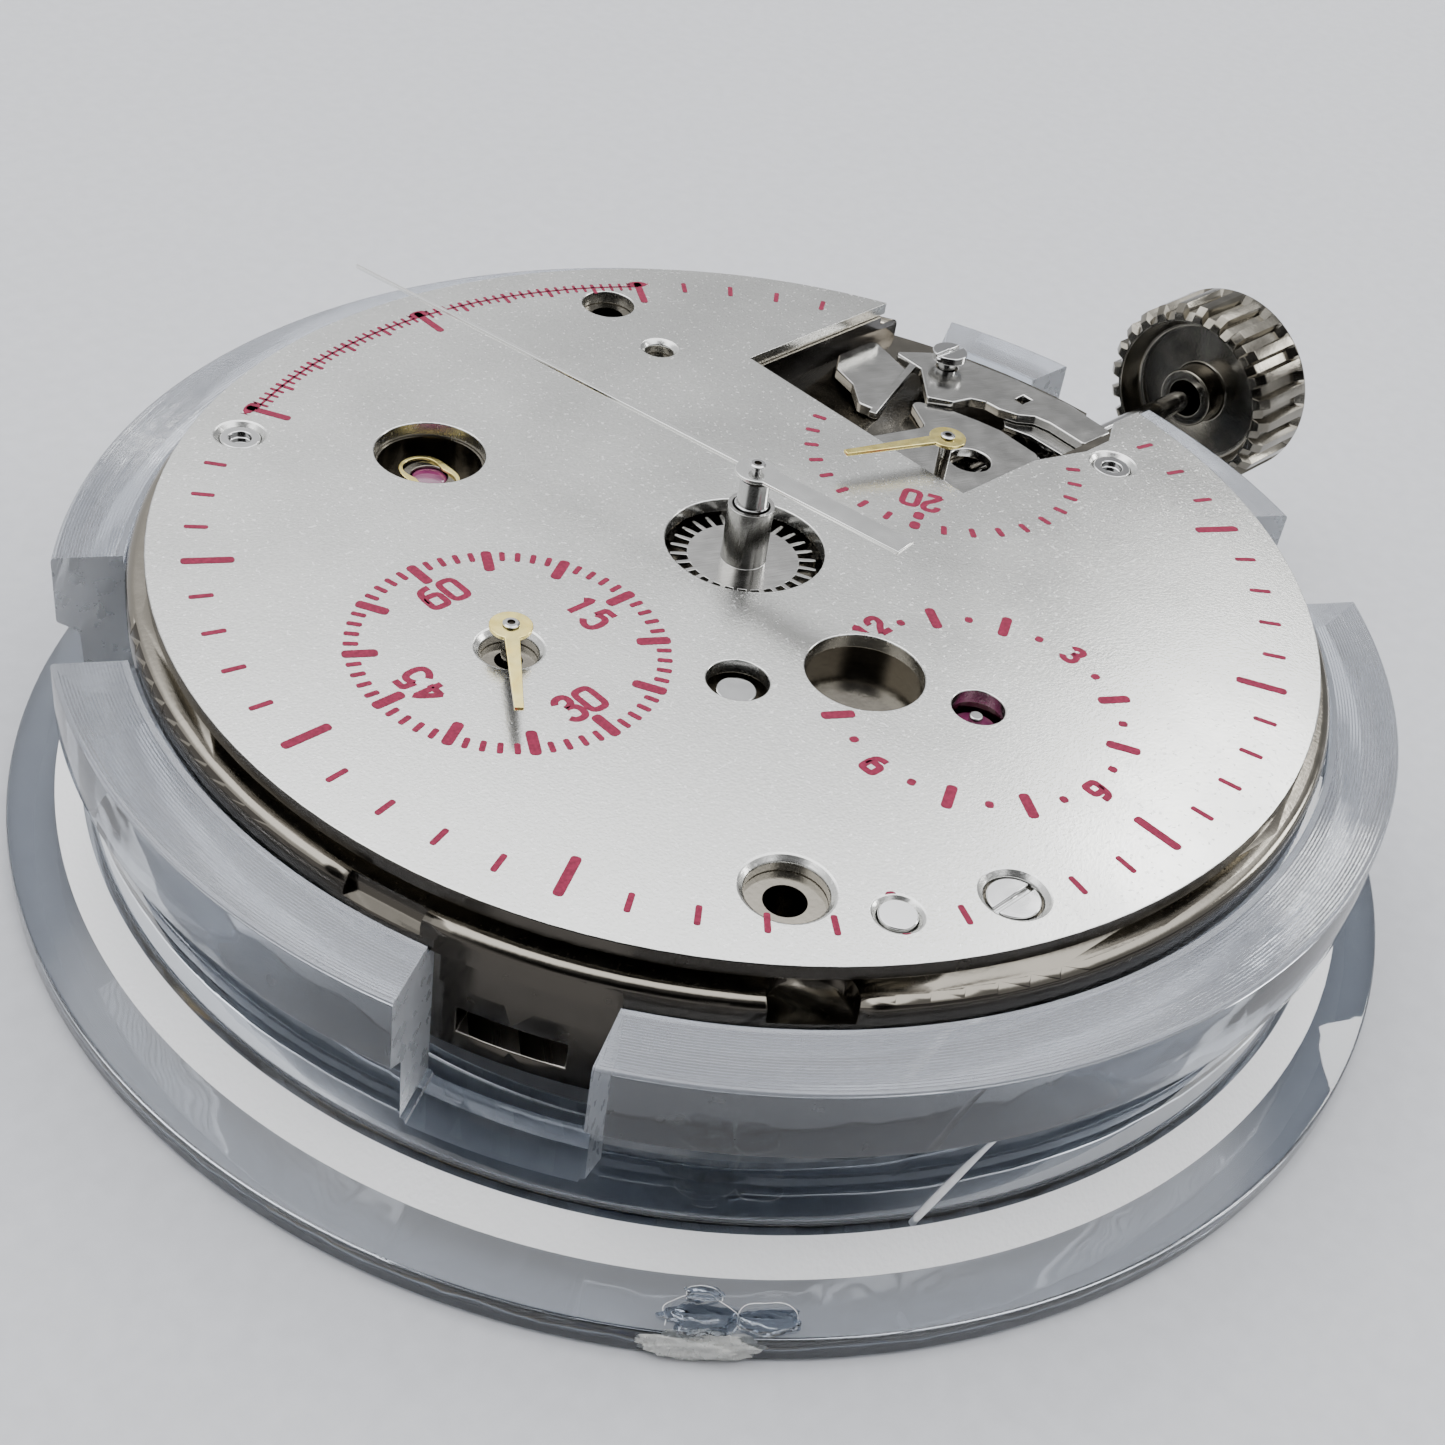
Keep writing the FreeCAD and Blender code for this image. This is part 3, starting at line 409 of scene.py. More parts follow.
def blued():
    """Steel blued by heat: deep cornflower over a polished face."""
    return simple_finish("heat_blued_steel", "#24407f", shades=(0.6, "#1b2f69", "#2f5296"),
                         metallic=1.0, roughness=0.18)


def printing_ink():
    """Pad-printed crimson ink: thin, matt to semi-gloss, with pinholes where the pad lifted."""
    return simple_finish("pad_printed_crimson_ink", "#85183c", shades=(0.09, "#6a0d2c", "#861b3d"),
                         relief=(0.09, 0.002), detail=2.0, roughness=0.6, specular_ior_level=0.25)


def floor_paper():
    """Matt background paper: even, pale and grey."""
    return simple_finish("matt_grey_paper", "#bfc0c3", shades=(0.6, "#bcbdc0", "#c2c3c6"), roughness=0.8)


FINISHES = {}


def finish(maker):
    """Each finish is made once and shared."""
    if maker.__name__ not in FINISHES:
        FINISHES[maker.__name__] = maker()
    return FINISHES[maker.__name__]


# ---------------------------------------------------------------- the holder

def fillet(profile, radii):
    """Round a closed profile's corners: each corner with a radius becomes a short arc."""
    rounded = []
    for index, corner in enumerate(profile):
        here = Vector(corner)
        before = (Vector(profile[index - 1]) - here).normalized()
        after = (Vector(profile[(index + 1) % len(profile)]) - here).normalized()
        radius = radii[index]
        if not radius:
            rounded.append(tuple(here))
            continue
        half = before.angle(after) / 2
        start = here + before * radius / math.tan(half)
        end = here + after * radius / math.tan(half)
        centre = here + (before + after).normalized() * radius / math.sin(half)
        arc = (start - centre).angle_signed(end - centre)
        for step in range(5):
            turned = Matrix.Rotation(-arc * step / 4, 2) @ (start - centre)
            rounded.append(tuple(centre + turned))
    return rounded


def lathe(name, profile, segments, centre=(0, 0)):
    """Turn a closed profile of (radius, height) points about a vertical axis."""
    work = bmesh.new()
    rings = []
    for index in range(segments):
        angle = 2 * math.pi * index / segments
        rings.append([work.verts.new((centre[0] + r * math.cos(angle), centre[1] + r * math.sin(angle), z))
                      for r, z in profile])
    skin(work, rings)
    bmesh.ops.remove_doubles(work, verts=work.verts, dist=JOIN_DISTANCE)
    bmesh.ops.recalc_face_normals(work, faces=work.faces)
    return mesh_from(work, name)


def ring_profile(ring):
    """The holder's section, from the inner foot outwards and up, with the turned grooves on top."""
    radius = {name: value * MM for name, value in RING.items()}
    corner = ring.corner
    profile = [
        (radius["ledge"], 0), (radius["base"], 0), (radius["base"], radius["base_edge"]),
        (radius["foot"], radius["foot_low"]), (radius["filed"], radius["filed_high"]),
        (radius["waist"], radius["foot_high"]),
        (radius["waist"] + 0.1 * MM, radius["waist_high"]), (radius["outer"], radius["step_high"]),
        (radius["outer"], RING_HIGH), (radius["mouth"], RING_HIGH), (radius["mouth"], radius["seat"]),
        (radius["bore"], radius["seat"]), (radius["bore"], radius["ledge_high"]),
        (radius["ledge"], radius["ledge_high"])]
    shares = (1, 1, 1, 0.5, 0, 1, 1, 1, 1, 0, 0, 0, 1, 1)
    radii = [share * corner for share in shares]
    rounded = fillet(profile, radii)
    top_start = max(index for index, point in enumerate(rounded)
                    if abs(point[1] - RING_HIGH) < 1e-9 and point[0] > radius["mouth"] + corner)
    edge = rounded[top_start][0]
    count = int((edge - radius["mouth"] - 0.1 * MM) / ring.groove_pitch)
    grooves = []
    for step in range(1, 2 * count):
        wander = 0.25 * noise.noise(Vector((step * 0.7, 3.1, 0)))
        depth = ring.groove_depth * (step % 2) * (1 + wander)
        grooves.append((edge - step * ring.groove_pitch / 2, RING_HIGH - depth))
    return rounded[:top_start + 1] + grooves + rounded[top_start + 1:]


# the holder's section in millimetres: radii, then heights
RING = {
    "ledge": 13.5, "base": 19.05, "foot": 17.8, "waist": 16.95, "outer": 17.6, "mouth": 15.85,
    "bore": 15.45, "filed": 17.11, "filed_high": 1.85, "base_edge": 0.8, "foot_low": 1.2,
    "foot_high": 2.0, "waist_high": 4.75, "step_high": 5.1, "seat": 6.85, "ledge_high": 1.2,
}
FOOT_SLOPE = 0.32
NOTCH_ANGLES = (29.5, -29.5, 150.5, -150.5)
NOTCH_WIDTH = 4.3 * MM
NOTCH_FLOOR = 2.7 * MM
STEM_SLOT = (-0.55 * MM, 2.7 * MM)


def cutter(name, low, high, turn):
    """A slightly rounded box that cuts a notch, turned about the ring's axis."""
    work = bmesh.new()
    bmesh.ops.create_cube(work, size=1.0)
    size = Vector(high) - Vector(low)
    shift = Matrix.Translation((Vector(low) + Vector(high)) / 2)
    place = Matrix.Rotation(math.radians(turn), 4, "Z") @ shift @ Matrix.Diagonal((*size, 1))
    bmesh.ops.transform(work, matrix=place, verts=work.verts)
    floor = [edge for edge in work.edges if all(abs(v.co.z - low[2]) < 1e-7 for v in edge.verts)]
    bmesh.ops.bevel(work, geom=floor, offset=0.15 * MM, segments=3, affect="EDGES")
    return add_object(name, mesh_from(work, name))


def cut_away(piece, tools):
    """Cut the tools out of a piece and keep the plain result."""
    for tool in tools:
        modifier = piece.modifiers.new("cut", "BOOLEAN")
        modifier.operation = "DIFFERENCE"
        modifier.solver = "EXACT"
        modifier.object = tool
    result = evaluated_mesh(piece)
    piece.modifiers.clear()
    piece.data = result
    for tool in tools:
        bpy.data.objects.remove(tool)
    return result


def paint_ring(mesh):
    """The turned top takes the second finish, the filed slope the third and the notch walls the fourth."""
    low, high = RING["foot_low"] * MM, RING["filed_high"] * MM
    for face in mesh.polygons:
        reach = face.center.xy.length
        if face.center.z > RING_HIGH - 0.08 * MM and face.normal.z > 0.5:
            face.material_index = 1
        elif low < face.center.z < high and RING["waist"] * MM < reach < RING["foot"] * MM + 0.05 * MM \
                and face.normal.z > 0.3:
            face.material_index = 2
        elif face.center.z > NOTCH_FLOOR and abs(face.normal.z) < 0.5 \
                and abs(face.normal.xy.normalized().dot(face.center.xy.normalized())) < 0.5:
            face.material_index = 3
        else:
            face.material_index = 0


class HOLDER_OT_ring(bpy.types.Operator):
    """Turn the clear ring, cut its notches and stem slot and give it its four finishes"""
    bl_idname = "holder.ring"
    bl_label = "Clear ring"

    def execute(self, context):
        ring = context.scene.holder_ring
        mesh = lathe("holder_ring_moulding", ring_profile(ring), ring.segments)
        piece = add_piece("holder_ring_moulding", mesh, finish(clear_polystyrene),
                          finish(turned_polystyrene), finish(frosted_polystyrene),
                          finish(sawn_polystyrene))
        half = NOTCH_WIDTH / 2
        inner, outer, top = 14 * MM, 19 * MM, 9 * MM
        tools = [cutter("notch_%d" % index, (inner, -half, NOTCH_FLOOR), (outer, half, top), turn)
                 for index, turn in enumerate(NOTCH_ANGLES)]
        tools.append(cutter("stem_slot", (inner, STEM_SLOT[0], NOTCH_FLOOR), (outer, STEM_SLOT[1], top), 0))
        mesh = cut_away(piece, tools)
        paint_ring(mesh)
        shade(mesh, 30)
        settle(piece, "holder", "clear_styrene", "holder_ring")
        return {"FINISHED"}


def sprue_lump(name, centre, size, turn, seed):
    """A broken-off gate: a flattened lump of plastic with a torn, lobed surface."""
    work = bmesh.new()
    bmesh.ops.create_icosphere(work, subdivisions=5, radius=1.0)
    for vert in work.verts:
        coarse = noise.noise(vert.co * 1.7 + Vector((seed, 0, 0)))
        fine = noise.noise(vert.co * 5.5 + Vector((0, seed, 0)))
        vert.co *= 1 + 0.45 * coarse + 0.13 * fine
    place = Matrix.Translation(centre) @ Matrix.Rotation(turn, 4, "Z") @ Matrix.Diagonal((*size, 1))
    bmesh.ops.transform(work, matrix=place, verts=work.verts)
    for vert in work.verts:
        vert.co.z = max(vert.co.z, 0.03 * MM)
    return mesh_from(work, name)


def pen_curve(name, thick):
    """An empty curve that draws with a round pen of a radius."""
    curve = bpy.data.curves.new(name, "CURVE")
    curve.dimensions = "3D"
    curve.bevel_depth = thick
    curve.bevel_resolution = 3
    curve.use_fill_caps = True
    return curve


def add_stroke(curve, points, order=3, loop=False):
    """Draw through (point, share of the pen's radius) pairs; order 2 keeps the stroke straight."""
    spline = curve.splines.new("NURBS")
    spline.points.add(len(points) - 1)
    for point, (spot, share) in zip(spline.points, points):
        point.co = (*spot, 1)
        point.radius = share
    spline.order_u = order
    spline.use_endpoint_u = not loop
    spline.use_cyclic_u = loop


def curve_mesh(curve):
    """The plain mesh of a drawn curve."""
    thing = add_object(curve.name + "_curve", curve)
    mesh = evaluated_mesh(thing)
    bpy.data.objects.remove(thing)
    return mesh


def ridge(name, points, thick):
    """A round-sectioned ridge through (point, share of the thickness) pairs."""
    curve = pen_curve(name, thick)
    add_stroke(curve, points)
    return curve_mesh(curve)


def on_ring(reach, degrees, height):
    """A point at a radius and height in millimetres and an angle from +X."""
    angle = math.radians(degrees)
    return Vector((reach * math.cos(angle), reach * math.sin(angle), height)) * MM


def slope_height(radius, above):
    """The height of a point a little above the slope over the foot, in millimetres."""
    return RING["base_edge"] + above + (RING["base"] - radius) * FOOT_SLOPE


def flow_line():
    """A stress-whitened streak that wanders up the waist, as a thin tapered ridge."""
    points = []
    for step in range(7):
        share = step / 6
        points.append((on_ring(RING["waist"] + 0.06 * (1 - share), -112.3 - 5.9 * share ** 0.8,
                               4.75 - 3.0 * share), 0.25 + 1.1 * share * (1.3 - share)))
    return ridge("flow_line", points, 0.16 * MM)


def flash_lobe(name, reach, degrees, along, across, seed):
    """The thin white edge of one clear lobe of flash, an arch that opens towards the gate."""
    points = []
    for step in range(22):
        turn = math.radians(62 + 236 * step / 21)
        wander = 1 + 0.22 * noise.noise(Vector((math.cos(turn) * 1.6, math.sin(turn) * 1.6, seed)))
        radius = reach + across * wander * math.cos(turn)
        side = degrees + math.degrees(along * wander * math.sin(turn) / reach)
        thickness = 0.65 + 0.7 * abs(noise.noise(Vector((step * 0.6, seed, 0))))
        points.append((on_ring(radius, side, slope_height(radius, 0.02)), thickness))
    return ridge(name, points, 0.013 * MM)


# lobes of flash beside the gate: radius, degrees from the gate, half length, half width in millimetres
LOBES = ((18.66, -0.1, 0.78, 0.46), (18.2, 0.1, 0.42, 0.22), (18.68, 4.5, 0.72, 0.4))


def add_mould_mark(name, mesh, maker):
    piece = add_piece(name, mesh, finish(maker))
    shade(mesh, 60)
    settle(piece, "holder", "clear_styrene")


class HOLDER_OT_mould_marks(bpy.types.Operator):
    """Add the snapped gate with its lobes of flash, and the whitened flow line on the waist"""
    bl_idname = "holder.mould_marks"
    bl_label = "Mould marks"

    def execute(self, context):
        angle = context.scene.holder_ring.gate_angle
        gate = sprue_lump("gate_remnant", on_ring(18.98, angle, 0.4),
                          (0.2 * MM, 1.3 * MM, 0.42 * MM), math.radians(angle), 4.0)
        add_mould_mark("gate_remnant", gate, torn_polystyrene)
        for index, (reach, beside, along, across) in enumerate(LOBES):
            side = angle + beside
            name = "gate_lobe_%d_" % index
            rim = flash_lobe(name + "rim", reach, side, along, across, index * 3.7)
            add_mould_mark(name + "rim", rim, frosted_polystyrene)
            film = sprue_lump(name + "film", on_ring(reach, side, slope_height(reach, 0.06)),
                              (0.95 * across * MM, 0.95 * along * MM, 0.04 * MM),
                              math.radians(side), 1.0 + index)
            add_mould_mark(name + "film", film, clear_polystyrene)
        add_mould_mark("flow_line", flow_line(), frosted_polystyrene)
        return {"FINISHED"}


# ---------------------------------------------------------------- metal pieces that keep their shape

def finish_group(pieces, maker, edge):
    for node in pieces:
        finish_node(node, finish(maker), edge * MM)


def paint_shade(node, test):
    """Give the faces of a finished piece that pass a test the darker nickel, as painted shade."""
    piece = bpy.data.objects[node + "_finished"]
    piece.data.materials.append(finish(shade_painted_nickel))
    for face in piece.data.polygons:
        face.material_index = int(test(face))


# where painted shade goes: the plates' outer walls, upright sides and undersides
def is_rim(face):
    return abs(face.normal.z) < 0.6 and face.center.xy.length > 14.5 * MM


def is_side(face):
    return abs(face.normal.z) < 0.6


def is_underside(face):
    return face.normal.z < -0.5


class HOLDER_OT_plates(bpy.types.Operator):
    """Ease and plate the main plate, the dial plate and what is set into them"""
    bl_idname = "holder.plates"
    bl_label = "Plates"

    def execute(self, context):
        finish_group(["dial_plate"], satin_dial_plate, 0.03)
        # the main plate's dark base colour is painted shade in the pockets under the dial plate
        finish_group(["main_plate"], polished_nickel, 0.0)
        # painted shade: the plates' outer walls take the darker nickel
        paint_shade("main_plate", is_rim)
        paint_shade("dial_plate", is_rim)
        finish_group(["dial_plate_screw", "dial_plate_rivets", "locating_studs", "minute_wheel_stud",
                      "hour_counter_arbor"], mirror_steel, 0.03)
        finish_group(["hour_counter_jewel"], ruby, 0.02)
        finish_group(["shock_block"], polished_nickel, 0.02)
        return {"FINISHED"}


class HOLDER_OT_keyless_work(bpy.types.Operator):
    """Grain the setting and winding steelwork in the cut-out"""
    bl_idname = "holder.keyless_work"
    bl_label = "Keyless work"

    def execute(self, context):
        finish_group(["keyless_cover", "setting_lever_jumper", "minute_train_cover"], grained_steel, 0.04)
        finish_group(["setting_lever", "yoke_spring"], grained_steel, 0.02)
        finish_group(["setting_lever_screw"], mirror_steel, 0.03)
        finish_group(["clutch_wheel", "winding_pinion"], mirror_steel, 0.0)
        return {"FINISHED"}


def fluted_crown(size):
    """The crown, turned about the stem's axis: a dished inner face with a boss, and fluted sides."""
    low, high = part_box("crown")
    axis = middle("crown")
    length, outer = high.x - low.x, high.y - axis.y
    rim = outer - 0.24 * MM
    # each corner: radius, height up the crown, and how far it is rounded
    corners = [(0, 1.5 * MM, 0), (0.6 * MM, 1.5 * MM, 0), (0.6 * MM, 0, 0.05), (0.95 * MM, 0, 0.08),
               (0.95 * MM, 0.9 * MM, 0.1), (rim - 0.5 * MM, 0.9 * MM, 0.3), (rim - 0.3 * MM, 0, 0.08),
               (rim, 0, 0.07), (outer, 0.25 * MM, 0.06), (outer, length - 0.75 * MM, 0),
               (outer, length - 0.5 * MM, 0.15), (outer - 0.6 * MM, length, 0.2), (0, length, 0)]
    profile = [corner[:2] for corner in corners]
    radii = [corner[2] * MM for corner in corners]
    mesh = lathe("crown_fluted", fillet(profile, radii), size.flutes * 16)
    for vert in mesh.vertices:
        reach = vert.co.xy.length
        if reach < rim - 0.12 * MM or vert.co.z > length - 0.7 * MM:
            continue
        step = math.atan2(vert.co.y, vert.co.x) * size.flutes / (2 * math.pi)
        beside = 2 * abs((step + 0.5) % 1 - 0.5)
        cut = min(max((0.62 - beside) / 0.24, 0), 1)
        vert.co.xy *= 1 - size.flute_depth * cut / reach
    turn = Matrix.Translation((low.x, axis.y, axis.z)) @ Matrix.Rotation(math.pi / 2, 4, "Y")
    mesh.transform(turn)
    return mesh


class HOLDER_OT_winding(bpy.types.Operator):
    """Polish the stem and tumble the fluted crown"""
    bl_idname = "holder.winding"
    bl_label = "Stem and crown"

    def execute(self, context):
        finish_group(["winding_stem"], mirror_steel, 0.02)
        mesh = fluted_crown(context.scene.holder_crown)
        crown = add_piece("crown_fluted", mesh, finish(crown_nickel))
        shade(mesh, 32)
        settle(crown, "winding", SLOTS["crown"], "crown")
        return {"FINISHED"}


class HOLDER_OT_hands(bpy.types.Operator):
    """Finish the hands, their arbors and the motion work"""
    bl_idname = "holder.hands"
    bl_label = "Hands and motion work"

    def execute(self, context):
        finish_group(["chronograph_seconds_hand"], rhodium_hand, 0.015)
        finish_group(["small_seconds_hand", "minute_counter_hand"], gilt, 0.015)
        # painted shade under the hands, so their reflections in the plate read dark
        for node in ("chronograph_seconds_hand", "small_seconds_hand", "minute_counter_hand"):
            paint_shade(node, is_underside)
        finish_group(["chronograph_arbor", "small_seconds_arbor", "minute_counter_arbor",
                      "cannon_pinion"], mirror_steel, 0.02)
        finish_group(["hour_wheel", "minute_wheel"], grained_steel, 0.01)
        for node, body in (("chronograph_arbor", "chronograph_seconds"),
                           ("small_seconds_arbor", "small_seconds"),
                           ("minute_counter_arbor", "minute_counter")):
            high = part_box(node)[1].z
            axis = middle(node)
            profile = [(0, high), (0.21 * MM, high), (0.21 * MM, high + 0.03 * MM),
                       (0.17 * MM, high + 0.06 * MM), (0.1 * MM, high + 0.06 * MM),
                       (0.08 * MM, high + 0.005 * MM), (0, high + 0.005 * MM)]
            mesh = lathe(node + "_pipe", profile, 48, (axis.x, axis.y))
            pipe = add_piece(node + "_pipe", mesh, finish(mirror_steel), finish(shade_painted_nickel))
            # painted shade: the pivot hole at each pipe's centre takes the darker nickel
            for face in mesh.polygons:
                face.material_index = int((face.center - axis).xy.length < 0.1 * MM)
            shade(mesh)
            settle(pipe, body, SLOTS[node])
        return {"FINISHED"}


class HOLDER_OT_underside(bpy.types.Operator):
    """Stripe the bridges and finish the wheels, screws and jewels beneath the movement"""
    bl_idname = "holder.underside"
    bl_label = "Bridges and chronograph work"

    def execute(self, context):
        for node in ("barrel_bridge", "train_bridge", "chronograph_base_bridge", "balance_cock",
                     "chronograph_bridge"):
            finish_node(node, finish(striped_nickel), 0.04 * MM)
            # painted shade on the bridges' upright sides
            paint_shade(node, is_side)
        finish_group(["bridge_screws", "ratchet_screw", "crown_wheel_screw", "column_wheel_screw"],
                     blued, 0.03)
        finish_group(["bridge_jewels"], ruby, 0.02)
        finish_group(["balance_wheel", "fourth_driver_wheel", "coupling_wheel", "chronograph_runner",
                      "minute_recorder_wheel"], gilt_brass, 0.008)
        finish_group(["ratchet_wheel", "crown_wheel"], grained_steel, 0.008)
        finish_group(["balance_staff", "coupling_arbor"], mirror_steel, 0.015)
        finish_group(["column_wheel"], mirror_steel, 0.02)
        finish_group(["hairspring"], blued, 0.0)
        return {"FINISHED"}


# ---------------------------------------------------------------- shock setting

def lyre_spring(name, centre, size):
    """The balance's lyre spring: a flat ring pressed in on two sides to clip over the jewel."""
    steps = 96
    work = bmesh.new()
    rows = []
    for index in range(steps):
        angle = 2 * math.pi * index / steps
        pressed = abs(math.cos(angle)) ** 3
        reach = size.reach * (1 - 0.36 * pressed)
        half = size.wire * (0.5 + 0.6 * pressed)
        row = []
        for radius, height in ((reach - half, 0), (reach + half, 0), (reach + half, size.thick),
                               (reach - half, size.thick)):
            row.append(work.verts.new((centre.x + radius * math.cos(angle),
                                       centre.y + radius * math.sin(angle) * 1.02, centre.z + height)))
        rows.append(row)
    skin(work, rows)
    return mesh_from(work, name)


class HOLDER_OT_shock_setting(bpy.types.Operator):
    """Set the domed ruby and the gilt lyre spring in the balance window"""
    bl_idname = "holder.shock_setting"
    bl_label = "Shock setting"

    def execute(self, context):
        size = context.scene.holder_spring
        low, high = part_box("shock_jewel")
        radius = high.x - BALANCE.x
        dome = [(radius * math.cos(math.radians(step * 10)),
                 high.z + 0.1 * MM * math.sin(math.radians(step * 10))) for step in range(10)]
        profile = [(0, low.z), (radius, low.z)] + dome[:-1] + [(0, high.z + 0.1 * MM)]
        mesh = lathe("shock_jewel_domed", profile, 48, (BALANCE.x, BALANCE.y))
        jewel = add_piece("shock_jewel_domed", mesh, finish(ruby))
        shade(mesh, 30)
        settle(jewel, "movement", "ruby", "shock_jewel")
        centre = Vector((BALANCE.x, BALANCE.y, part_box("shock_spring")[0].z))
        mesh = lyre_spring("shock_lyre_spring", centre, size)
        spring = add_piece("shock_lyre_spring", mesh, finish(gilt))
        shade(mesh, 35)
        bevel(spring, 0.012 * MM)
        settle(spring, "movement", "gilt_hands", "shock_spring")
        return {"FINISHED"}


# ---------------------------------------------------------------- printed scales

def mark_tree():
    """A node tree that sets out rounded marks round a circle, clockwise from twelve o'clock."""
    tree = bpy.data.node_groups.new("marks_round_a_circle", "GeometryNodeTree")
    face = tree.interface
    face.new_socket("Geometry", in_out="OUTPUT", socket_type="NodeSocketGeometry")
    for name, kind in (("Marks", "Int"), ("First", "Int"), ("Shown", "Int"), ("Every", "Int"),
                       ("Skip", "Int"), ("Radius", "Float"), ("Length", "Float"), ("Width", "Float"),
                       ("Height", "Float"), ("Centre", "Vector"), ("Ink", "Material")):
        face.new_socket(name, in_out="INPUT", socket_type="NodeSocket" + kind)
    given = add(tree, "NodeGroupInput").outputs

    def maths(operation, first, second=0.0):
        return combine(tree, operation, first, second)

    def step(kind, inputs=None, **settings):
        return add(tree, kind, inputs, **settings).outputs[0]

    number = maths("ADD", step("GeometryNodeInputIndex"), given["First"])
    turn = maths("MULTIPLY", maths("DIVIDE", number, given["Marks"]), -2 * math.pi)
    angle = maths("ADD", turn, math.pi / 2)
    spot = step("ShaderNodeCombineXYZ", {
        "X": maths("MULTIPLY", maths("COSINE", angle), given["Radius"]),
        "Y": maths("MULTIPLY", maths("SINE", angle), given["Radius"])})
    place = step("ShaderNodeVectorMath", {0: spot, 1: given["Centre"]}, operation="ADD")
    line = step("GeometryNodeMeshLine", {"Count": given["Shown"]}, mode="OFFSET")
    laid = step("GeometryNodeSetPosition", {"Geometry": line, "Position": place})
    off_beat = maths("GREATER_THAN", maths("FLOORED_MODULO", number, given["Every"]), 0.5)
    on_skip = maths("LESS_THAN", maths("FLOORED_MODULO", number, given["Skip"]), 0.5)
    left_out = maths("MAXIMUM", off_beat, on_skip)
    outline = step("GeometryNodeCurvePrimitiveQuadrilateral", {
        "Width": given["Length"], "Height": given["Width"]})
    soft = add(tree, "GeometryNodeFilletCurve", {
        "Curve": outline, "Radius": maths("MULTIPLY", given["Width"], 0.38), "Count": 3}, mode="POLY")
    flat = step("GeometryNodeFillCurve", {"Curve": soft.outputs[0]}, mode="NGONS")
    raised = step("GeometryNodeExtrudeMesh", {
        "Mesh": flat, "Offset Scale": given["Height"], "Individual": False})
    under = step("GeometryNodeFlipFaces", {"Mesh": flat})
    whole = add(tree, "GeometryNodeJoinGeometry")
    tree.links.new(raised, whole.inputs[0])
    tree.links.new(under, whole.inputs[0])
    mark = step("GeometryNodeMergeByDistance", {
        "Geometry": whole.outputs[0], "Distance": JOIN_DISTANCE})
    turned = step("ShaderNodeCombineXYZ", {"Z": angle})
    placed = step("GeometryNodeInstanceOnPoints", {
        "Points": laid, "Selection": maths("LESS_THAN", left_out, 0.5), "Instance": mark,
        "Rotation": turned})
    real = step("GeometryNodeRealizeInstances", {"Geometry": placed})
    inked = step("GeometryNodeSetMaterial", {"Geometry": real, "Material": given["Ink"]})
    add(tree, "NodeGroupOutput", {"Geometry": inked})
    return tree


# bevelled sinks that the printing stops at, in millimetres: x, y, radius
SINKS = ((-8.03, 11.28, 0.69), (-4.29, -13.01, 0.82), (-6.86, -11.88, 0.6))
CUT_MARKS = ("minute_marks_lower", "five_minute_marks", "fifth_second_marks", "five_second_stems",
             "five_second_heads", "whole_second_marks")


def bore(x, y, radius):
    """A cutter for a round hole through the plate's printing, in millimetres."""
    mesh = lathe("bore", [(0, PLATE_TOP - MM), (radius * MM, PLATE_TOP - MM),
                          (radius * MM, PLATE_TOP + MM), (0, PLATE_TOP + MM)], 96, (x * MM, y * MM))
    return add_object("bore", mesh)


def print_marks(name, tree, **values):
    """Run the mark tree with the given inputs and keep its plain mesh."""
    ink = finish(printing_ink)
    piece = add_piece(name, bpy.data.meshes.new(name), ink)
    modifier = piece.modifiers.new("marks", "NODES")
    modifier.node_group = tree
    sockets = {item.name: item.identifier for item in tree.interface.items_tree if item.in_out == "INPUT"}
    for key, value in dict(Height=bpy.context.scene.holder_print.thick, Ink=ink, **values).items():
        modifier[sockets[key]] = value
    mesh = evaluated_mesh(piece)
    piece.modifiers.clear()
    piece.data = mesh
    if name in CUT_MARKS:
        cut_away(piece, [bore(*sink) for sink in SINKS])
    settle(piece, "movement", "dial_plate_silver")


def on_plate(centre):
    """A dial's centre on the plate's top face."""
    return (centre.x, centre.y, PLATE_TOP)


def arc_band(name, radius, width, start, end, thick):
    """A printed arc of a width about the plate's centre, between two angles in degrees."""
    work = bmesh.new()
    steps = 60
    rows = []
    for index in range(steps + 1):
        angle = math.radians(start + (end - start) * index / steps)
        rows.append([work.verts.new((reach * math.cos(angle), reach * math.sin(angle), height))
                     for reach, height in ((radius - width / 2, PLATE_TOP), (radius + width / 2, PLATE_TOP),
                                           (radius + width / 2, PLATE_TOP + thick),
                                           (radius - width / 2, PLATE_TOP + thick))])
    work.faces.new(rows[0])
    work.faces.new(rows[-1])
    skin(work, rows, closed=False)
    mesh = mesh_from(work, name)
    piece = add_piece(name, mesh, finish(printing_ink))
    settle(piece, "movement", "dial_plate_silver")


# name, marks in the full circle, first, how many, every, skipping every, then radius, length and width
# in millimetres; minutes 10 to 16 and the counter's first third fall in the cut-out
NO_SKIP = 1000
TRACK_MARKS = (
    ("minute_marks_upper", 60, 6, 4, 1, 5, 13.99, 0.6, 0.15),
    ("minute_marks_lower", 60, 17, 38, 1, 5, 13.99, 0.6, 0.15),
    ("five_minute_marks", 60, 20, 31, 5, NO_SKIP, 13.7, 1.3, 0.25),
    ("fifth_second_marks", 300, 275, 51, 1, 5, 13.97, 0.44, 0.09),
    ("whole_second_marks", 60, 55, 11, 1, 5, 13.9, 0.58, 0.12),
    ("five_second_stems", 60, 55, 11, 5, NO_SKIP, 13.6, 1.28, 0.23),
    ("five_second_heads", 60, 55, 11, 5, NO_SKIP, 14.14, 0.3, 0.7),
)
SECONDS_MARKS = (
    ("small_seconds_marks", 60, 0, 60, 1, 5, 3.75, 0.38, 0.15),
    ("small_seconds_long_marks", 60, 60, 60, 5, NO_SKIP, 3.55, 0.86, 0.28),
)
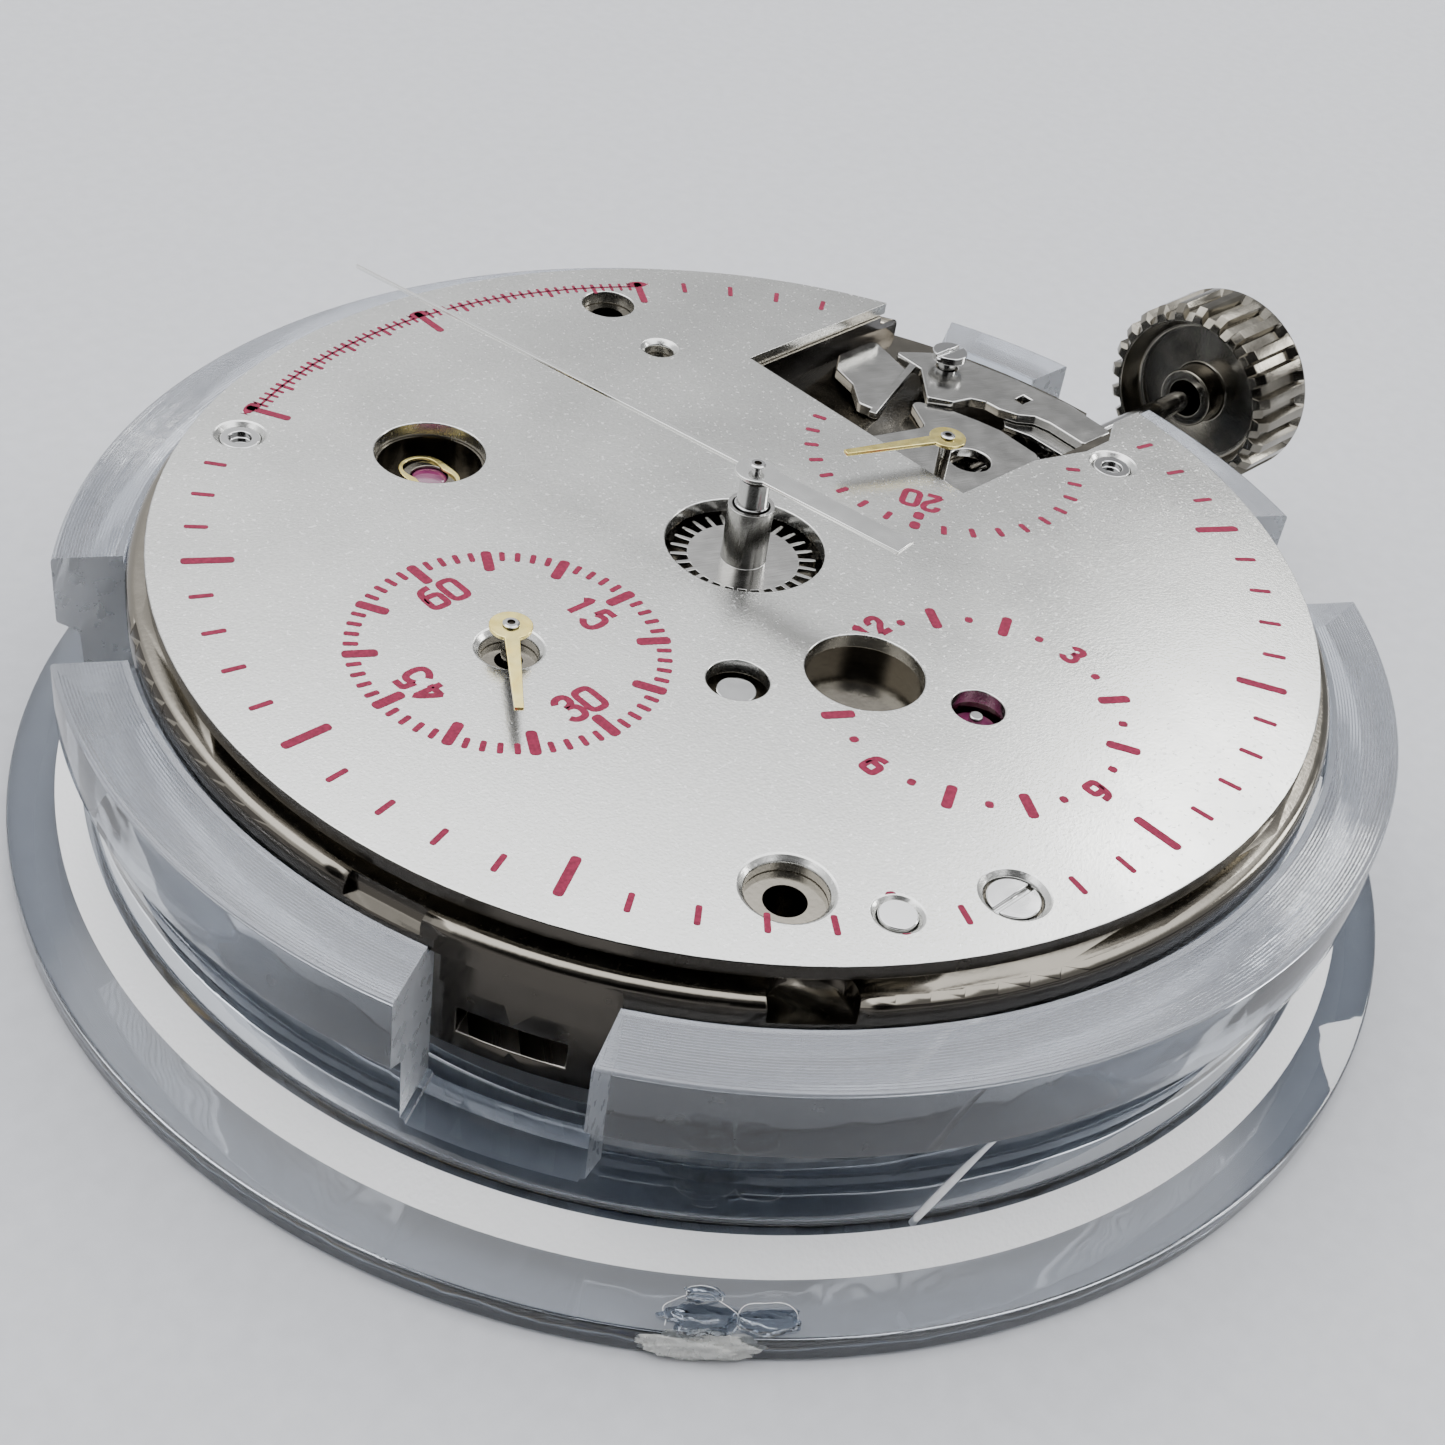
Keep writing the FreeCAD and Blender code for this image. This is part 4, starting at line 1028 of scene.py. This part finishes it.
MINUTES_MARKS = (
    ("minute_counter_marks", 30, 11, 18, 1, 10, 3.8, 0.42, 0.17),
    ("minute_counter_twenty_inner", 30, 20, 1, 1, NO_SKIP, 3.33, 0.36, 0.3),
    ("minute_counter_twenty_outer", 30, 20, 1, 1, NO_SKIP, 3.84, 0.36, 0.3),
)
HOURS_MARKS = (
    ("hour_counter_bars", 12, 1, 10, 1, 3, 3.58, 0.85, 0.27),
    ("hour_counter_dots", 24, 1, 20, 1, 2, 3.57, 0.23, 0.21),
)


def print_scale(tree, rows, centre):
    """Print each row of a scale about a dial's centre."""
    for name, marks, first, shown, every, skip, radius, length, width in rows:
        print_marks(name, tree, Marks=marks, First=first, Shown=shown, Every=every, Skip=skip,
                    Radius=radius * MM, Length=length * MM, Width=width * MM, Centre=on_plate(centre))


class HOLDER_OT_printed_marks(bpy.types.Operator):
    """Print the minute track, the fine seconds scale and the marks of the three small dials"""
    bl_idname = "holder.printed_marks"
    bl_label = "Printed marks"

    def execute(self, context):
        tree = mark_tree()
        print_scale(tree, TRACK_MARKS, Vector((0, 0, 0)))
        arc_band("seconds_scale_arc", 13.98 * MM, 0.07 * MM, 60, 120, context.scene.holder_print.thick)
        print_scale(tree, SECONDS_MARKS, SECONDS_DIAL)
        print_scale(tree, MINUTES_MARKS, MINUTES_DIAL)
        print_scale(tree, HOURS_MARKS, HOURS_DIAL)
        return {"FINISHED"}


# each digit's strokes in a cell 0.56 wide and 1 high: "line" runs straight, "curve" bends smoothly
DIGITS = {
    "0": [("loop", (0.28, 1.0), (0.56, 0.95), (0.56, 0.5), (0.56, 0.05), (0.28, 0.0), (0.0, 0.05),
           (0.0, 0.5), (0.0, 0.95))],
    "1": [("line", (0.08, 0.78), (0.3, 1.0), (0.3, 0.0))],
    "2": [("curve", (0.02, 0.72), (0.02, 1.02), (0.54, 1.05), (0.56, 0.62), (0.22, 0.34), (0.02, 0.02)),
          ("line", (0.02, 0.02), (0.56, 0.02))],
    "3": [("curve", (0.03, 0.84), (0.1, 1.04), (0.54, 1.04), (0.52, 0.58), (0.2, 0.55)),
          ("curve", (0.2, 0.55), (0.56, 0.58), (0.6, 0.0), (0.12, -0.05), (0.02, 0.16))],
    "4": [("line", (0.42, 0.0), (0.42, 1.0), (0.0, 0.3), (0.58, 0.3))],
    "5": [("line", (0.52, 1.0), (0.12, 1.0), (0.08, 0.58)),
          ("curve", (0.08, 0.58), (0.3, 0.72), (0.58, 0.6), (0.58, 0.0), (0.2, -0.06), (0.02, 0.14))],
    "6": [("curve", (0.5, 0.98), (0.12, 0.98), (0.0, 0.6), (0.0, 0.3)),
          ("loop", (0.28, 0.6), (0.56, 0.58), (0.56, 0.3), (0.56, 0.02), (0.28, 0.0), (0.0, 0.02),
           (0.0, 0.3), (0.0, 0.58))],
    "9": [("curve", (0.06, 0.02), (0.44, 0.02), (0.56, 0.4), (0.56, 0.7)),
          ("loop", (0.28, 1.0), (0.56, 0.98), (0.56, 0.7), (0.56, 0.42), (0.28, 0.4), (0.0, 0.42),
           (0.0, 0.7), (0.0, 0.98))],
}
DIGIT_WIDTH = 0.78
DIGIT_STEP = 0.64


def numeral(name, text, height, stroke, centre, turn, thick):
    """A numeral drawn with a round pen, turned about its middle and flattened to a film of ink."""
    curve = pen_curve(name, stroke / 2)
    curve.resolution_u = 6
    wide = 0.56 * DIGIT_WIDTH + DIGIT_STEP * (len(text) - 1)
    for index, digit in enumerate(text):
        for kind, *points in DIGITS[digit]:
            spots = [(((x * DIGIT_WIDTH + index * DIGIT_STEP - wide / 2) * height,
                       (y - 0.5) * (height - stroke), 0), 1.0) for x, y in points]
            add_stroke(curve, spots, 2 if kind == "line" else 3, kind == "loop")
    mesh = curve_mesh(curve)
    squeeze = thick * 2 / stroke
    mesh.transform(Matrix.Translation((*centre, PLATE_TOP)) @ Matrix.Rotation(math.radians(turn), 4, "Z")
                   @ Matrix.Diagonal((1, 1, squeeze, 1)))
    piece = add_piece(name, mesh, finish(printing_ink))
    shade(mesh, 50)
    return piece


class HOLDER_OT_numerals(bpy.types.Operator):
    """Draw the numerals of the three small dials, their tops outwards or upright as printed"""
    bl_idname = "holder.numerals"
    bl_label = "Numerals"

    def execute(self, context):
        size = context.scene.holder_print
        places = [("60", SECONDS_DIAL, 90, 0, 2.6, 1.0), ("15", SECONDS_DIAL, 0, -90, 2.52, 1.0),
                  ("30", SECONDS_DIAL, -90, 0, 2.6, 1.0), ("45", SECONDS_DIAL, 180, 90, 2.6, 1.0),
                  ("20", MINUTES_DIAL, 208, 120, 2.53, 0.95), ("3", HOURS_DIAL, 0, -90, 3.68, 0.78),
                  ("6", HOURS_DIAL, -90, 180, 3.74, 0.78), ("9", HOURS_DIAL, 180, 90, 3.72, 0.78)]
        for text, dial, angle, turn, reach, height in places:
            spot = (dial.x + reach * MM * math.cos(math.radians(angle)),
                    dial.y + reach * MM * math.sin(math.radians(angle)))
            piece = numeral("numeral_" + text, text, height * MM, size.stroke, spot, turn, size.thick)
            settle(piece, "movement", "dial_plate_silver")
        twelve = numeral("numeral_12", "12", 0.8 * MM, size.stroke,
                         (0.1 * MM, HOURS_DIAL.y + 3.7 * MM), 0, size.thick)
        cut_away(twelve, [bore(-1.31, -5.63, 1.63)])
        settle(twelve, "movement", "dial_plate_silver")
        return {"FINISHED"}


# ---------------------------------------------------------------- stage

class HOLDER_OT_stage(bpy.types.Operator):
    """Lay the floor, hang the lights and set up the camera"""
    bl_idname = "holder.stage"
    bl_label = "Stage"

    def execute(self, context):
        size = context.scene.holder_stage
        mesh = bpy.data.meshes.new("floor")
        reach = size.floor
        mesh.from_pydata([(-reach, -reach, 0), (reach, -reach, 0), (reach, reach, 0), (-reach, reach, 0)],
                         [], [(0, 1, 2, 3)])
        floor = add_piece("floor", mesh, finish(floor_paper))
        floor.location.z = -0.02 * MM
        world = bpy.data.worlds.new("studio")
        context.scene.world = world
        world.use_nodes = True
        tree = world.node_tree
        background = tree.nodes["Background"]
        way = add(tree, "ShaderNodeTexCoord").outputs["Generated"]

        def facing(direction, start, end, low, high):
            """How far a direction lies towards a card, as a smooth step between two cosines."""
            towards = add(tree, "ShaderNodeVectorMath", {0: way, 1: Vector(direction).normalized()},
                          operation="DOT_PRODUCT").outputs["Value"]
            return add(tree, "ShaderNodeMapRange", {
                "Value": towards, "From Min": start, "From Max": end, "To Min": low, "To Max": high},
                interpolation_type="SMOOTHSTEP").outputs[0]

        level = combine(tree, "ADD", facing((0, 0, 1), 0.46, 0.72, 0.5, 1.1),
                        facing((-0.62, 0.78, 0), -0.1, 0.35, -0.1, 0.55))
        level = combine(tree, "ADD", level, facing((0, 0, 1), 0.6, 0.72, 0.0, 2.2))
        level = combine(tree, "MULTIPLY", level, facing((-0.59, -0.507, 0.5), 0.72, 0.9, 1.0, 0.03))
        background.inputs["Color"].default_value = colour("#fbfcff")
        tree.links.new(combine(tree, "MULTIPLY", level, size.sky), background.inputs["Strength"])
        target = Vector((0, 0, 6 * MM))
        for name, away, width, power in (
                ("window_light", (0.32, 0.12, 0.28), 0.06, size.window),
                ("rim_light", (0.36, -0.16, 0.16), 0.12, size.rim)):
            lamp = bpy.data.lights.new(name, "AREA")
            lamp.size = width
            lamp.energy = power
            thing = add_object(name, lamp)
            thing.location = target + Vector(away)
            thing.rotation_euler = (-Vector(away)).to_track_quat("-Z", "Y").to_euler()
        lens = bpy.data.cameras.new("camera")
        lens.lens = size.lens
        lens.sensor_width = 36
        lens.clip_start = MM
        camera = add_object("camera", lens)
        heading, down = size.heading, size.down
        forward = Vector((math.sin(heading) * math.cos(down), math.cos(heading) * math.cos(down),
                          -math.sin(down)))
        look = forward.to_track_quat("-Z", "Y").to_matrix().to_4x4()
        place = Matrix.Translation(size.eye)
        camera.matrix_world = place @ look @ Matrix.Rotation(size.roll, 4, "Z")
        context.scene.camera = camera
        return {"FINISHED"}


# ---------------------------------------------------------------- settings and panel

class RingSettings(bpy.types.PropertyGroup):
    corner: FloatProperty(name="Corner", description="Radius of the moulding's corners",
                          default=0.12 * MM, min=0, unit="LENGTH", precision=5)
    groove_pitch: FloatProperty(name="Groove pitch", description="Distance between turned grooves",
                                default=0.08 * MM, min=0.05 * MM, unit="LENGTH", precision=5)
    groove_depth: FloatProperty(name="Groove depth", description="Depth of the turned grooves",
                                default=0.022 * MM, min=0, unit="LENGTH", precision=6)
    segments: IntProperty(name="Segments", description="Faces round the ring", default=288, min=48)
    gate_angle: FloatProperty(name="Gate", description="Where the gate was snapped off, in degrees from +X",
                              default=-133.8)


class CrownSettings(bpy.types.PropertyGroup):
    flutes: IntProperty(name="Flutes", description="Flutes round the crown", default=24, min=8)
    flute_depth: FloatProperty(name="Flute depth", description="Depth of the crown's flutes",
                               default=0.27 * MM, min=0, unit="LENGTH", precision=5)


class SpringSettings(bpy.types.PropertyGroup):
    reach: FloatProperty(name="Reach", description="Radius of the lyre spring", default=0.86 * MM,
                         min=0, unit="LENGTH", precision=5)
    wire: FloatProperty(name="Width", description="Width of the lyre spring", default=0.1 * MM, min=0,
                        unit="LENGTH", precision=5)
    thick: FloatProperty(name="Thickness", description="Thickness of the lyre spring", default=0.07 * MM,
                         min=0, unit="LENGTH", precision=5)


class PrintSettings(bpy.types.PropertyGroup):
    thick: FloatProperty(name="Ink height", description="Thickness of the printed ink",
                         default=0.008 * MM, min=0, unit="LENGTH", precision=6)
    stroke: FloatProperty(name="Stroke", description="Width of the numerals' strokes",
                          default=0.19 * MM, min=0, unit="LENGTH", precision=6)


class StageSettings(bpy.types.PropertyGroup):
    floor: FloatProperty(name="Floor", description="Half the floor's width", default=1.5, min=0.1,
                         unit="LENGTH")
    sky: FloatProperty(name="Sky", description="Brightness of the surroundings", default=1.06, min=0)
    window: FloatProperty(name="Window", description="Power of the light behind", default=0.11, min=0,
                          unit="POWER")
    rim: FloatProperty(name="Side", description="Power of the light beside the crown", default=0.5, min=0,
                       unit="POWER")
    lens: FloatProperty(name="Lens", description="Focal length in millimetres", default=51.174, min=1)
    eye: FloatVectorProperty(name="Eye", description="Where the camera stands", subtype="TRANSLATION",
                             default=(-33.941 * MM, -29.396 * MM, 38.451 * MM), unit="LENGTH")
    heading: FloatProperty(name="Heading", description="Camera's heading, clockwise from +Y",
                           default=math.radians(49.327), subtype="ANGLE")
    down: FloatProperty(name="Down", description="How far the camera looks down",
                        default=math.radians(38.887), subtype="ANGLE")
    roll: FloatProperty(name="Roll", description="Camera's turn about its own line of sight",
                        default=math.radians(9.333), subtype="ANGLE")


SETTINGS = {"holder_ring": RingSettings, "holder_crown": CrownSettings, "holder_spring": SpringSettings,
            "holder_print": PrintSettings, "holder_stage": StageSettings}
OPERATORS = (HOLDER_OT_ring, HOLDER_OT_mould_marks, HOLDER_OT_plates, HOLDER_OT_keyless_work,
             HOLDER_OT_winding, HOLDER_OT_hands, HOLDER_OT_underside, HOLDER_OT_shock_setting,
             HOLDER_OT_printed_marks, HOLDER_OT_numerals, HOLDER_OT_stage)


class HOLDER_PT_panel(bpy.types.Panel):
    """Settings and steps for the movement holder"""
    bl_idname = "HOLDER_PT_panel"
    bl_label = "Movement holder"
    bl_space_type = "VIEW_3D"
    bl_region_type = "UI"
    bl_category = "Holder"

    def draw(self, context):
        for setting in SETTINGS:
            group = getattr(context.scene, setting)
            box = self.layout.box()
            for name in group.__annotations__:
                box.prop(group, name)
        for operator in OPERATORS:
            self.layout.operator(operator.bl_idname)


CLASSES = (*SETTINGS.values(), *OPERATORS, HOLDER_PT_panel)


def register():
    for item in CLASSES:
        bpy.utils.register_class(item)
    for name, group in SETTINGS.items():
        setattr(bpy.types.Scene, name, PointerProperty(type=group))


def unregister():
    for name in SETTINGS:
        delattr(bpy.types.Scene, name)
    for item in reversed(CLASSES):
        bpy.utils.unregister_class(item)


def main():
    register()
    for operator in OPERATORS:
        area, name = operator.bl_idname.split(".")
        getattr(getattr(bpy.ops, area), name)()


if __name__ == "__main__":
    main()
